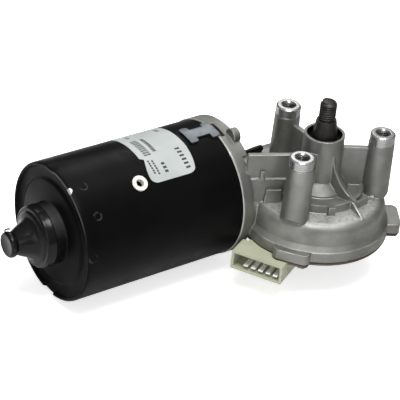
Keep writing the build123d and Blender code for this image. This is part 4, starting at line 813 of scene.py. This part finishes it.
def turned_mesh(
    name: str, profile: Profile, place: Callable[[float, float, float], Point], segments: int = 96
) -> Thing:
    """Return a surface of revolution.

    Args:
        name: The object's name.
        profile: (radius, height) pairs in millimetres; a first or last radius of 0 closes it.
        place: Turns a radius, an angle in radians and a height into a point.
        segments: How many faces go round.

    Returns:
        The new object.
    """
    turns = [2 * math.pi * step / segments for step in range(segments)]
    rings = [[place(radius * MM, turn, height * MM) for turn in turns] for radius, height in profile]
    return lofted_mesh(name, rings, ends=False)


def wrapped_patch(name: str, rows: list[Point], radius: float, thickness: float, columns: int = 12) -> Thing:
    """Return a thin closed patch wrapped round the motor axis.

    Args:
        name: The object's name.
        rows: (angle, x at one side, x at the other side) in degrees and millimetres, in order of angle.
        radius: Radius of the face that lies on the can.
        thickness: How far the patch stands off that radius.
        columns: How many faces go along x.

    Returns:
        The new object.
    """
    rings = []
    for angle, low, high in rows:
        spots = [(low + (high - low) * step / columns) * MM for step in range(columns + 1)]
        under = [motor_point(x, radius, angle) for x in spots]
        rings.append(under + [motor_point(x, radius + thickness, angle) for x in reversed(spots)])
    return lofted_mesh(name, rings, smooth=False)


def block_mesh(name: str, centre: Point, size: Point, turn: float, top_share: float = 0.82) -> Thing:
    """Return a box turned about the vertical, slightly narrower at its top as a casting is.

    Args:
        name: The object's name.
        centre: The middle of the box in millimetres.
        size: Its length, width and height in millimetres.
        turn: Its turn about the vertical in degrees.
        top_share: The top's length and width as a share of the bottom's.

    Returns:
        The new object.
    """
    spin = Matrix.Rotation(math.radians(turn), 3, "Z")
    corners = ((-0.5, -0.5), (0.5, -0.5), (0.5, 0.5), (-0.5, 0.5))
    rings = []
    for up, share in ((-0.5, 1.0), (0.5, top_share)):
        wide, deep, high = size[0] * share, size[1] * share, size[2]
        offsets = [Vector((along * wide, across * deep, up * high)) for along, across in corners]
        rings.append([tuple((Vector(centre) + spin @ offset) * MM) for offset in offsets])
    return lofted_mesh(name, rings)


def tube_mesh(name: str, path: list[Point], radius: float, sides: int = 10) -> Thing:
    """Return a closed round tube along a path of points.

    Args:
        name: The object's name.
        path: Points along the tube's middle, in metres.
        radius: The tube's radius.
        sides: How many faces go round.

    Returns:
        The new object.
    """
    rings = []
    for index, spot in enumerate(path):
        ahead = Vector(path[min(len(path) - 1, index + 1)]) - Vector(path[max(0, index - 1)])
        across = ahead.cross(Vector((1.0, 0.0, 0.0))).normalized()
        beside = ahead.normalized().cross(across)
        turns = [2 * math.pi * side / sides for side in range(sides)]
        spokes = [(across * math.cos(turn) + beside * math.sin(turn)) * radius for turn in turns]
        rings.append([tuple(Vector(spot) + spoke) for spoke in spokes])
    return lofted_mesh(name, rings)


def joined(name: str, things: list[Thing]) -> Thing:
    """Join objects that lie at the origin into one smooth one and name it.

    Args:
        name: The new object's name.
        things: The objects to join, which are removed.

    Returns:
        The new object.
    """
    whole = bmesh.new()
    for thing in things:
        whole.from_mesh(thing.data)
        bpy.data.objects.remove(thing, do_unlink=True)
    mesh = bpy.data.meshes.new(name)
    whole.to_mesh(mesh)
    whole.free()
    mesh.polygons.foreach_set("use_smooth", [True] * len(mesh.polygons))
    return linked_object(name, mesh)


def plain_copy(name: str, thing: Thing) -> Thing:
    """Return a new object with the mesh that an object's modifiers give, and remove the old one.

    Args:
        name: The new object's name.
        thing: The object with modifiers.

    Returns:
        The new object.
    """
    bpy.context.view_layer.update()
    mesh = bpy.data.meshes.new_from_object(thing.evaluated_get(bpy.context.evaluated_depsgraph_get()))
    mesh.name = name
    bpy.data.objects.remove(thing, do_unlink=True)
    return linked_object(name, mesh)


def crease(thing: Thing, angle: float) -> Thing:
    """Keep the edges of a smooth mesh sharp where they turn by more than an angle in degrees."""
    thing.data.set_sharp_from_angle(angle=math.radians(angle))
    return thing


class ShapeTree(NodeSheet):
    """A Geometry Nodes tree with named inputs, whose result is taken as a plain mesh."""

    def __init__(self, name: str, numbers: dict[str, float | int], finish: Material) -> None:
        """Start a tree.

        Args:
            name: The tree's name.
            numbers: Named inputs with their values.
            finish: The material of what it makes.
        """
        tree = bpy.data.node_groups.new(name, "GeometryNodeTree")
        tree.interface.new_socket(name="Geometry", in_out="INPUT", socket_type="NodeSocketGeometry")
        for label, value in numbers.items():
            kind = "NodeSocketInt" if isinstance(value, int) else "NodeSocketFloat"
            tree.interface.new_socket(name=label, in_out="INPUT", socket_type=kind)
        tree.interface.new_socket(name="Finish", in_out="INPUT", socket_type="NodeSocketMaterial")
        tree.interface.new_socket(name="Geometry", in_out="OUTPUT", socket_type="NodeSocketGeometry")
        super().__init__(tree)
        self.values: dict[str, object] = {**numbers, "Finish": finish}
        self.inputs = self.add("NodeGroupInput").outputs

    def step(self, kind: str, inputs: dict | None = None, **settings: object) -> Socket:
        """Add a Geometry node and return its first output."""
        return self.add("GeometryNode" + kind, inputs, **settings).outputs[0]

    def finish(self, shape: Socket) -> None:
        """End the tree in Realize Instances and Set Material.

        Args:
            shape: The geometry that the tree has made.
        """
        plain = self.step("RealizeInstances", {"Geometry": shape})
        dressed = self.step("SetMaterial", {"Geometry": plain, "Material": self.inputs["Finish"]})
        self.add("NodeGroupOutput", {"Geometry": dressed})

    def run(self, name: str) -> Thing:
        """Return the tree's result as a plain mesh object.

        Args:
            name: The object's name.

        Returns:
            The new object, with no modifier left.
        """
        carrier = mesh_object(name + "_carrier", [(0, 0, 0)], [])
        modifier = carrier.modifiers.new("shape", "NODES")
        modifier.node_group = self.tree
        for item in self.tree.interface.items_tree:
            if item.item_type == "SOCKET" and item.in_out == "INPUT" and item.name in self.values:
                modifier[item.identifier] = self.values[item.name]
        return plain_copy(name, carrier)


# ---------------------------------------------------------------------------- sub-assemblies


@dataclass
class SubAssembly:
    """A group of pieces of the motor, with the finishes it uses."""

    frame: dict
    finishes: Finishes

    def dress(self, looks: dict[Finish, tuple[str, ...]]) -> None:
        """Give CAD nodes their finish.

        Args:
            looks: Finishes with the names of the nodes that have each.
        """
        for finish, nodes in looks.items():
            for node in nodes:
                materials = self.frame["nodes"][node].data.materials
                materials.clear()
                materials.append(self.finishes.material(finish))

    def keep(self, piece: Thing, body: Body, slot: str, finish: Finish | None = None) -> None:
        """Give a new piece its finish and body, and report it.

        Args:
            piece: The new piece.
            body: The body it rides on.
            slot: The name of its material slot; not used.
            finish: Its finish, if the piece has none yet.
        """
        if finish is not None:
            piece.data.materials.clear()
            piece.data.materials.append(self.finishes.material(finish))
        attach(piece, body.value)
        LOG.info("%s: %d faces on %s", piece.name, len(piece.data.polygons), body.value)


@dataclass
class GearHousing(SubAssembly):
    """The die-cast gear housing with its posts, cover and hardware."""

    post_circle: float = 35.0 * MM
    hole_radius: float = 3.4 * MM
    thread_pitch: float = 1.25 * MM
    thread_start: float = -15.2 * MM
    thread_top: float = -1.5 * MM
    ridge_share: float = 0.36
    pads: tuple[tuple[Point, Point, float], ...] = (
        ((-38.5, 6.2, -23.9), (3.0, 2.4, 7.0), -26.3),
        ((-32.5, 1.6, -36.6), (11.0, 3.4, 9.4), -26.3),
        ((27.2, -14.2, -39.2), (7.0, 2.4, 4.4), -42.0),
        ((23.0, -24.2, -39.8), (3.2, 3.2, 3.0), -45.0),
        ((31.6, -6.6, -38.6), (2.2, 3.6, 6.0), -50.0),
    )

    def build(self) -> None:
        """Dress the casting and its hardware, wind the post threads and add the cast pads."""
        self.dress(
            {
                CAST: ("gear_housing", "mounting_posts"),
                ZINC: ("cover_screws", "bridge_clips", "thrust_screw", "thrust_locknut"),
                ZINC_DULL: ("cover_plate",),
                GASKET: ("cover_gasket",),
                RUBBER: ("vent_spout", "shaft_seal"),
                BRONZE: ("worm_bush", "upper_bush", "lower_bush"),
                NYLON: ("thrust_pad",),
                STEEL_BRIGHT: ("bearing_outer_ring", "bearing_balls", "bearing_snap_ring"),
            }
        )
        self.post_threads()
        self.cast_pads()

    def post_threads(self) -> None:
        """Wind a thread ridge into each post hole."""
        tree = ShapeTree(
            "post_thread_ridges",
            {
                "Circle Radius": self.post_circle,
                "Hole Radius": self.hole_radius,
                "Pitch": self.thread_pitch,
                "Bottom": self.thread_start,
                "Height": self.thread_top - self.thread_start,
            },
            self.finishes.material(CAST),
        )
        values = tree.inputs
        spiral = tree.step(
            "CurveSpiral",
            {
                "Resolution": 32,
                "Rotations": tree.math("DIVIDE", values["Height"], values["Pitch"]),
                "Start Radius": values["Hole Radius"],
                "End Radius": values["Hole Radius"],
                "Height": values["Height"],
            },
        )
        upright = tree.step("SetCurveNormal", {"Curve": spiral}, mode="Z_UP")
        half_width = tree.product(values["Pitch"], self.ridge_share)
        section = tree.step("CurvePrimitiveCircle", {"Resolution": 4, "Radius": half_width})
        ridge = tree.step("CurveToMesh", {"Curve": upright, "Profile Curve": section, "Fill Caps": True})
        ring = tree.step("MeshCircle", {"Vertices": 3, "Radius": values["Circle Radius"]})
        foot = tree.combine(z=values["Bottom"])
        turn = tree.combine(z=math.radians(90.0))
        placed = tree.step("Transform", {"Geometry": ring, "Translation": foot, "Rotation": turn})
        tree.finish(tree.step("InstanceOnPoints", {"Points": placed, "Instance": ridge}))
        self.keep(tree.run("post_threads"), Body.HOUSING, "die_cast_aluminium")

    def cast_pads(self) -> None:
        """Add the small cast steps and nubs beside the webs."""
        pads = joined("cast_pads", [block_mesh("pad", *pad) for pad in self.pads])
        self.keep(crease(pads, 30), Body.HOUSING, "die_cast_aluminium", CAST)


@dataclass
class OutputDrive(SubAssembly):
    """The output shaft with its real thread, the worm wheel and what turns with them."""

    root_radius: float = 4.08 * MM
    crest_radius: float = 5.0 * MM
    pitch: float = 1.5 * MM
    thread_bottom: float = 8.6 * MM
    thread_top: float = 19.6 * MM
    thread_depth_in_core: float = 0.15 * MM
    steps_per_turn: int = 48
    run_in: int = 14
    run_out: int = 30
    ridge_section: Profile = ((0.0, 0.50), (1.0, 0.07), (1.0, -0.07), (0.0, -0.50))
    profile: Profile = (
        (0.0, -56.5), (7.2, -56.5), (8.0, -55.7), (8.0, -4.9), (7.9, -4.5), (5.95, 7.8), (5.75, 8.0),
        (4.3, 8.0), (4.08, 8.3), (4.08, 19.2), (3.6, 19.85), (3.3, 20.0), (0.0, 20.0),
    )  # fmt: skip

    def build(self) -> None:
        """Dress the wheel and build the threaded shaft."""
        self.dress(
            {
                BLACK_OXIDE: ("output_shaft",),
                NYLON: ("worm_wheel",),
                TIN: ("contact_disc",),
                STEEL_BRIGHT: ("wheel_hub", "thrust_washer", "shaft_circlip"),
            }
        )
        core = turned_mesh("shaft_core", self.profile, self.round_shaft)
        shaft = crease(joined("threaded_output_shaft", [core, self.ridge()]), 35)
        self.keep(shaft, Body.OUTPUT, "black_oxide_steel", BLACK_OXIDE)
        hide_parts("output_shaft")

    def round_shaft(self, radius: float, turn: float, height: float) -> Point:
        """Return the point at a radius, an angle in radians and a height about the output shaft."""
        return (radius * math.cos(turn), radius * math.sin(turn), height)

    def ridge(self) -> Thing:
        """Return the helical ridge as a closed mesh that fades into the core at both ends.

        Returns:
            The new object.
        """
        count = int((self.thread_top - self.thread_bottom) / self.pitch * self.steps_per_turn)
        sunk = self.root_radius - self.thread_depth_in_core
        rings = []
        for step in range(count + 1):
            turn = 2 * math.pi * step / self.steps_per_turn
            middle = self.thread_bottom + self.pitch * step / self.steps_per_turn
            fade = min(1.0, step / self.run_in, (count - step) / self.run_out)
            crest = self.root_radius + (self.crest_radius - self.root_radius) * fade
            rings.append(
                [
                    self.round_shaft(crest if outer else sunk, turn, middle + half * self.pitch)
                    for outer, half in self.ridge_section
                ]
            )
        return lofted_mesh("shaft_ridge", rings)


@dataclass
class Armature(SubAssembly):
    """The armature with its worm, commutator and bearing ring."""

    def build(self) -> None:
        """Dress the armature."""
        self.dress(
            {
                STEEL_BRIGHT: ("armature_shaft", "bearing_inner_ring", "thrust_ball"),
                LAMINATED: ("armature_core",),
                COPPER: ("armature_windings", "commutator"),
                BOARD: ("commutator_hub",),
            }
        )


@dataclass(frozen=True)
class BarRow:
    """A row of plain bars printed round the can, in millimetres and degrees."""

    name: str
    count: int
    along: float
    first_angle: float
    angle_step: float
    bar_length: float
    bar_angle: float


@dataclass
class MotorCan(SubAssembly):
    """The painted can with its magnets, brush gear, grommet, nose cap and blank label."""

    can_profile: Profile = (
        (39.25, -51.7), (41.45, -51.7), (41.45, -80.0), (41.45, -116.2), (41.45, -154.0), (41.45, -157.5),
        (41.30, -158.3), (40.90, -158.85), (40.30, -159.1), (39.70, -158.95), (39.30, -158.5),
        (39.00, -157.9), (38.70, -157.3), (38.20, -156.9), (37.50, -156.8), (33.60, -156.8),
        (32.60, -157.0), (31.90, -157.6), (31.20, -158.2), (30.20, -158.5), (19.60, -158.7),
        (18.80, -159.0), (18.40, -159.6), (18.30, -160.4), (18.30, -165.2), (17.80, -166.4),
        (16.50, -167.0), (5.00, -167.0), (5.00, -164.8), (16.10, -164.8), (16.10, -155.4),
        (39.25, -155.4), (39.25, -51.7),
    )  # fmt: skip
    notch_angles: tuple[float, float] = (262.0, 277.5)
    notch_floor: float = -156.9 * MM
    rim_root: float = 38.0 * MM
    can_segments: int = 288
    dent_angles: tuple[float, float] = (78.0, 92.0)
    dent_end: float = -156.0 * MM
    dent_depth: float = 0.9 * MM
    bore_radius: float = 3.4 * MM
    bore_start: float = 4.0 * MM
    bore_length: float = 8.0 * MM
    bore_segments: int = 48
    grommet_x: float = -116.2 * MM
    grommet_angle: float = 125.0
    cap_profile: Profile = (
        (0.0, -166.9), (17.0, -166.9), (18.0, -165.6), (18.32, -165.0), (18.60, -165.2), (18.65, -165.9),
        (18.35, -166.5), (18.30, -169.6), (18.10, -170.4), (17.50, -171.0), (16.80, -171.1),
        (16.20, -170.9), (15.70, -171.2), (15.20, -171.9), (14.50, -172.3), (13.60, -172.5),
        (12.40, -173.1), (11.40, -174.0), (10.60, -175.2), (9.90, -176.8), (8.80, -179.2),
        (7.70, -181.4), (7.10, -182.5), (6.80, -183.1), (6.20, -183.4), (5.90, -183.8), (6.20, -184.2),
        (7.10, -184.4), (7.60, -184.9), (7.70, -186.0), (7.50, -187.1), (6.90, -187.8), (6.20, -188.0),
        (5.60, -187.8), (0.0, -187.6),
    )  # fmt: skip
    tail_points: tuple[Point, ...] = (
        (-186.3, 7.0, 60.0), (-187.0, 8.3, 64.0), (-187.2, 9.4, 73.0), (-186.4, 10.2, 84.0),
        (-185.6, 10.6, 90.0),
    )  # fmt: skip
    tail_radius: float = 0.45 * MM
    corner_profile: Profile = (
        (41.46, -52.5), (41.75, -52.4), (42.02, -52.1), (42.05, -51.72), (41.46, -51.72), (41.46, -52.5),
    )  # fmt: skip
    corner_segments: int = 192
    label_rows: tuple[Point, ...] = (
        (128.6, -103.8, -83.0), (128.3, -105.2, -81.2), (127.6, -106.5, -79.6), (126.5, -107.5, -78.6),
        (124.8, -108.2, -77.8), (122.0, -108.4, -77.2), (119.3, -108.3, -76.7), (114.0, -107.5, -76.1),
        (107.5, -106.0, -75.6), (106.0, -105.6, -75.5), (105.2, -106.2, -75.4), (104.4, -107.5, -75.4),
        (103.4, -107.9, -75.3), (88.4, -107.7, -75.3), (77.1, -107.6, -75.3), (64.8, -107.2, -75.1),
        (51.0, -106.2, -75.0), (49.7, -105.4, -75.6), (49.0, -104.2, -76.8),
    )  # fmt: skip
    label_step: float = 2.0
    label_thickness: float = 0.12 * MM
    label_seat: float = 0.02 * MM
    ink_height: float = 0.05 * MM
    print_rows: tuple[BarRow, ...] = (
        BarRow("stripes_wide", 9, -101.4, 80.6, 2.7, 4.6, 1.0),
        BarRow("stripes_thin", 8, -101.4, 82.1, 2.7, 4.6, 0.4),
        BarRow("long_row", 12, -95.7, 80.6, 1.75, 2.3, 1.35),
        BarRow("big_row", 6, -81.9, 104.0, 3.8, 3.0, 1.8),
        BarRow("low_row", 6, -104.0, 108.6, 2.3, 1.2, 1.7),
        BarRow("low_row_two", 6, -101.5, 109.4, 2.4, 1.2, 1.7),
        BarRow("short_row", 3, -96.2, 114.0, 3.6, 2.2, 2.2),
        BarRow("far_row", 3, -80.5, 68.0, 2.6, 2.2, 1.6),
        BarRow("far_row_two", 3, -100.5, 67.0, 2.6, 2.0, 1.6),
    )

    def build(self) -> None:
        """Dress the can's contents and build the can, its cap, the flange's corner and the label."""
        self.dress(
            {
                FERRITE: ("magnets", "choke_cores"),
                BRONZE: ("rear_bush",),
                ZINC: ("rear_bush_retainer",),
                EYELET: ("can_grommet",),
                BOARD: ("brush_plate",),
                TIN: ("brush_holders",),
                CARBON: ("brushes",),
                STEEL_BRIGHT: ("brush_springs",),
                COPPER: ("choke_coils",),
            }
        )
        self.drawn_can()
        self.cap()
        corner = turned_mesh("flange_corner", self.corner_profile, round_motor, self.corner_segments)
        self.keep(corner, Body.HOUSING, "die_cast_aluminium", MACHINED)
        label = wrapped_patch(
            "blank_label",
            self.label_with_fill(),
            CAN_RADIUS - self.label_seat,
            self.label_thickness + self.label_seat,
        )
        self.keep(label, Body.HOUSING, "tinned_brass", FOIL)
        self.label_print()

    def drawn_can(self) -> None:
        """Build the can with its rolled rim, sunk end and drain notch, and cut the hole for the grommet."""
        shell = turned_mesh("can_shell", self.can_profile, self.rim_point, self.can_segments)
        turns = [2 * math.pi * step / self.bore_segments for step in range(self.bore_segments)]
        outline = ((0.0, 0.0), (self.bore_radius, 0.0), (self.bore_radius, 1.0), (0.0, 1.0))
        rings = [[self.bore_point(radius, turn, share) for turn in turns] for radius, share in outline]
        bore = lofted_mesh("grommet_bore", rings, ends=False)
        cut = shell.modifiers.new("grommet_hole", "BOOLEAN")
        cut.operation, cut.solver, cut.object = "DIFFERENCE", "EXACT", bore
        can = crease(plain_copy("drawn_can", shell), 32)
        bpy.data.objects.remove(bore, do_unlink=True)
        self.keep(can, Body.HOUSING, "black_can_paint", CAN_PAINT)
        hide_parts("motor_can")

    def rim_point(self, radius: float, turn: float, x: float) -> Point:
        """Return a point of the can, with the rim cut down at the notch and pressed in at the dent.

        Args:
            radius: Distance from the motor axis, in metres.
            turn: Angle about the motor axis, in radians.
            x: Place along the motor axis, in metres.

        Returns:
            The point in metres.
        """
        angle = math.degrees(turn)
        if radius > self.rim_root:
            low, high = self.notch_angles
            if low < angle < high:
                x = max(x, self.notch_floor)
            low, high = self.dent_angles
            if low < angle < high and x < self.dent_end:
                radius -= self.dent_depth * math.sin(math.pi * (angle - low) / (high - low))
        return motor_point(x, radius, angle)

    def bore_point(self, radius: float, turn: float, share: float) -> Point:
        """Return a point of the cutter that makes the grommet's hole, square to the can.

        Args:
            radius: Distance from the hole's axis, in metres.
            turn: Angle about the hole's axis, in radians.
            share: Place along the cutter, 0 inside the can and 1 outside it.

        Returns:
            The point in metres.
        """
        angle = math.radians(self.grommet_angle)
        start = Vector(motor_point(self.grommet_x, CAN_RADIUS - self.bore_start, self.grommet_angle))
        outward = Vector((0.0, math.cos(angle), math.sin(angle))) * self.bore_length * share
        along = Vector((1.0, 0.0, 0.0)) * math.cos(turn)
        sideways = Vector((0.0, -math.sin(angle), math.cos(angle))) * math.sin(turn)
        return tuple(start + outward + (along + sideways) * radius)

    def cap(self) -> None:
        """Build the rubber cap with its rounded skirt, waist and button tip, and the moulding tail on it."""
        body = turned_mesh("cap_body", self.cap_profile, round_motor)
        path = [motor_point(x * MM, radius * MM, angle) for x, radius, angle in self.tail_points]
        cap = crease(joined("rubber_cap", [body, tube_mesh("cap_tail", path, self.tail_radius)]), 50)
        self.keep(cap, Body.HOUSING, "black_rubber", RUBBER)
        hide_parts("nose_cap")

    def label_with_fill(self) -> list[Point]:
        """Return the label's rows with more put in, so that it follows the can.

        Returns:
            Rows of an angle and the x of both sides, in degrees and millimetres.
        """
        rows: list[Point] = []
        for first, second in zip(self.label_rows, self.label_rows[1:]):
            parts = max(1, math.ceil(abs(first[0] - second[0]) / self.label_step))
            for part in range(parts):
                rows.append(tuple(a + (b - a) * part / parts for a, b in zip(first, second)))
        return [*rows, self.label_rows[-1]]

    def label_print(self) -> None:
        """Print plain bars on the label: rows of small blocks that say nothing."""
        tree = ShapeTree(
            "printed_bars",
            {
                "Count": 1,
                "Along": 0.0,
                "First Angle": 0.0,
                "Angle Step": 1.0,
                "Bar Length": 1.0 * MM,
                "Bar Angle": 1.0,
                "Radius": CAN_RADIUS + self.label_thickness,
            },
            self.finishes.material(INK),
        )
        values = tree.inputs
        start = tree.combine(values["Along"], values["First Angle"])
        gap = tree.combine(y=values["Angle Step"])
        line = tree.step("MeshLine", {"Count": values["Count"], "Start Location": start, "Offset": gap})
        size = tree.combine(values["Bar Length"], values["Bar Angle"], self.ink_height)
        bar = tree.step("MeshCube", {"Size": size, "Vertices Y": 3})
        bars = tree.step("InstanceOnPoints", {"Points": line, "Instance": bar})
        flat = tree.step("RealizeInstances", {"Geometry": bars})
        x, angle, rise = tree.split(tree.step("InputPosition"))
        turn = tree.product(angle, math.pi / 180)
        reach = tree.math("ADD", rise, values["Radius"])
        across = tree.math("ADD", tree.product(tree.math("COSINE", turn), reach), MOTOR_AXIS_Y)
        height = tree.math("ADD", tree.product(tree.math("SINE", turn), reach), MOTOR_AXIS_Z)
        wrapped = tree.step("SetPosition", {"Geometry": flat, "Position": tree.combine(x, across, height)})
        tree.finish(tree.step("FlipFaces", {"Mesh": wrapped}))
        pieces = []
        for row in self.print_rows:
            tree.values |= {
                "Count": row.count,
                "Along": row.along * MM,
                "First Angle": row.first_angle,
                "Angle Step": row.angle_step,
                "Bar Length": row.bar_length * MM,
                "Bar Angle": row.bar_angle,
            }
            pieces.append(tree.run(row.name))
        self.keep(joined("label_print", pieces), Body.HOUSING, "black_rubber", INK)


@dataclass
class Connector(SubAssembly):
    """The blade socket with its contacts."""

    def build(self) -> None:
        """Dress the socket and its contacts."""
        self.dress(
            {
                IVORY: ("connector_housing",),
                TIN: ("connector_terminals", "contact_fingers"),
                BOARD: ("contact_board",),
            }
        )


# ---------------------------------------------------------------------------- studio


@dataclass
class Studio:
    """The camera, the pale floor and the soft lights."""

    yaw: float = 38.22
    pitch: float = 32.45
    roll: float = 5.87
    lens: float = 159.42
    offset: tuple[float, float] = (71.73 * MM, 23.82 * MM)
    distance: float = 1051.07 * MM
    pivot: Point = (0.0, 0.0, -20.0 * MM)
    lamp_aim: Point = (-0.06, 0.03, -0.05)
    lamps: tuple[tuple[str, Point, float, float], ...] = (
        ("key", (-0.22, -0.32, 1.15), 0.5, 14.0),
        ("top", (0.40, 0.15, 1.20), 0.6, 3.5),
        ("fill", (-1.05, -0.75, 0.40), 0.8, 3.2),
        ("rim", (0.5, 0.9, 0.9), 0.6, 5.0),
    )
    bright_side: Point = (-0.33, -0.42, 0.84)
    sky_span: tuple[float, float] = (-0.25, 0.95)
    sky_levels: tuple[float, float] = (0.08, 0.60)
    floor_height: float = -91.4 * MM
    floor_size: float = 4.0
    floor_tone: float = 0.86
    floor_glow: float = 0.66
    mirror_span: tuple[float, float] = (-0.09, 0.06)
    mirror_tones: tuple[float, float] = (0.92, 0.40)

    def build(self) -> None:
        """Set up the camera, floor, lights and world."""
        bpy.context.scene.view_settings.view_transform = "Standard"
        self.camera()
        self.floor()
        self.world()
        for name, place, size, power in self.lamps:
            self.area_light(name, place, size, power)

    def camera(self) -> None:
        """Place the camera by its yaw, pitch and roll."""
        yaw, pitch, roll = (math.radians(angle) for angle in (self.yaw, self.pitch, self.roll))
        ahead = Vector((math.sin(yaw) * math.cos(pitch), math.cos(yaw) * math.cos(pitch), -math.sin(pitch)))
        level = Vector((math.cos(yaw), -math.sin(yaw), 0.0))
        upright = level.cross(ahead)
        right = level * math.cos(roll) + upright * math.sin(roll)
        up = upright * math.cos(roll) - level * math.sin(roll)
        place = Vector(self.pivot) - right * self.offset[0] - up * self.offset[1] - ahead * self.distance
        data = bpy.data.cameras.new("camera")
        data.lens = self.lens
        data.sensor_width = 36.0
        data.clip_start = 0.01
        data.clip_end = 20.0
        camera = bpy.data.objects.new("camera", data)
        camera.matrix_world = Matrix.Translation(place) @ Matrix((right, up, -ahead)).transposed().to_4x4()
        bpy.context.scene.collection.objects.link(camera)
        bpy.context.scene.camera = camera

    def seen(self, sheet: NodeSheet) -> Socket:
        """Return 1 for rays that come straight from the camera or through glass."""
        path = sheet.add("ShaderNodeLightPath").outputs
        return sheet.math("ADD", path["Is Camera Ray"], path["Is Transmission Ray"], clamp=True)

    def floor(self) -> None:
        """Lay a pale floor that keeps a faint shadow; for glossy rays it is a painted reflection, darker
        towards +x, away from the key light.
        """
        size = self.floor_size
        corners = [(-size, -size), (size, -size), (size, size), (-size, size)]
        points = [(x, y, self.floor_height) for x, y in corners]
        floor = mesh_object("floor", points, [(0, 1, 2, 3)], smooth=False)
        material = bpy.data.materials.new("pale_floor")
        material.use_nodes = True
        sheet = NodeSheet(material.node_tree)
        sheet.tree.nodes.clear()
        mirrored = sheet.remap(sheet.split(sheet.object_point())[0], *self.mirror_span, *self.mirror_tones)
        glossy = sheet.add("ShaderNodeLightPath").outputs["Is Glossy Ray"]
        tone = sheet.blend(glossy, self.floor_tone, mirrored)
        diffuse = sheet.add("ShaderNodeBsdfDiffuse", {"Color": tone})
        strength = sheet.product(self.seen(sheet), self.floor_glow)
        glow = sheet.add("ShaderNodeEmission", {"Color": grey(1.0), "Strength": strength})
        both = sheet.add("ShaderNodeAddShader", {0: diffuse.outputs[0], 1: glow.outputs[0]})
        sheet.add("ShaderNodeOutputMaterial", {"Surface": both.outputs[0]})
        floor.data.materials.append(material)

    def world(self) -> None:
        """Light the scene softly, most from the key side, with a white backdrop."""
        world = bpy.data.worlds.new("studio")
        world.use_nodes = True
        sheet = NodeSheet(world.node_tree)
        sheet.tree.nodes.clear()
        sky = sheet.add("ShaderNodeTexCoord").outputs["Generated"]
        towards = sheet.measure("DOT_PRODUCT", sky, self.bright_side)
        level = sheet.remap(towards, *self.sky_span, *self.sky_levels)
        soft = sheet.add("ShaderNodeBackground", {"Color": grey(1.0), "Strength": level})
        white = sheet.add("ShaderNodeBackground", {"Color": grey(1.0), "Strength": 1.0})
        blend = {0: self.seen(sheet), 1: soft.outputs[0], 2: white.outputs[0]}
        choice = sheet.add("ShaderNodeMixShader", blend)
        sheet.add("ShaderNodeOutputWorld", {"Surface": choice.outputs[0]})
        bpy.context.scene.world = world

    def area_light(self, name: str, place: Point, size: float, power: float) -> None:
        """Add one square area light that looks at the part.

        Args:
            name: The light's name.
            place: Its place in metres.
            size: Its side in metres.
            power: Its power in watts.
        """
        data = bpy.data.lights.new(name, "AREA")
        data.size = size
        data.energy = power
        light = bpy.data.objects.new(name, data)
        turn = (Vector(self.lamp_aim) - Vector(place)).to_track_quat("-Z", "Y")
        light.matrix_world = Matrix.Translation(Vector(place)) @ turn.to_matrix().to_4x4()
        bpy.context.scene.collection.objects.link(light)


def main() -> None:
    """Build the motor's sub-assemblies in order and light them."""
    logging.basicConfig(level=logging.INFO, format="%(name)s: %(message)s")
    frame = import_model()
    finishes = Finishes()
    Studio().build()
    for part in (GearHousing, OutputDrive, Armature, MotorCan, Connector):
        LOG.info("building %s", part.__name__)
        part(frame, finishes).build()


if __name__ == "__main__":
    main()
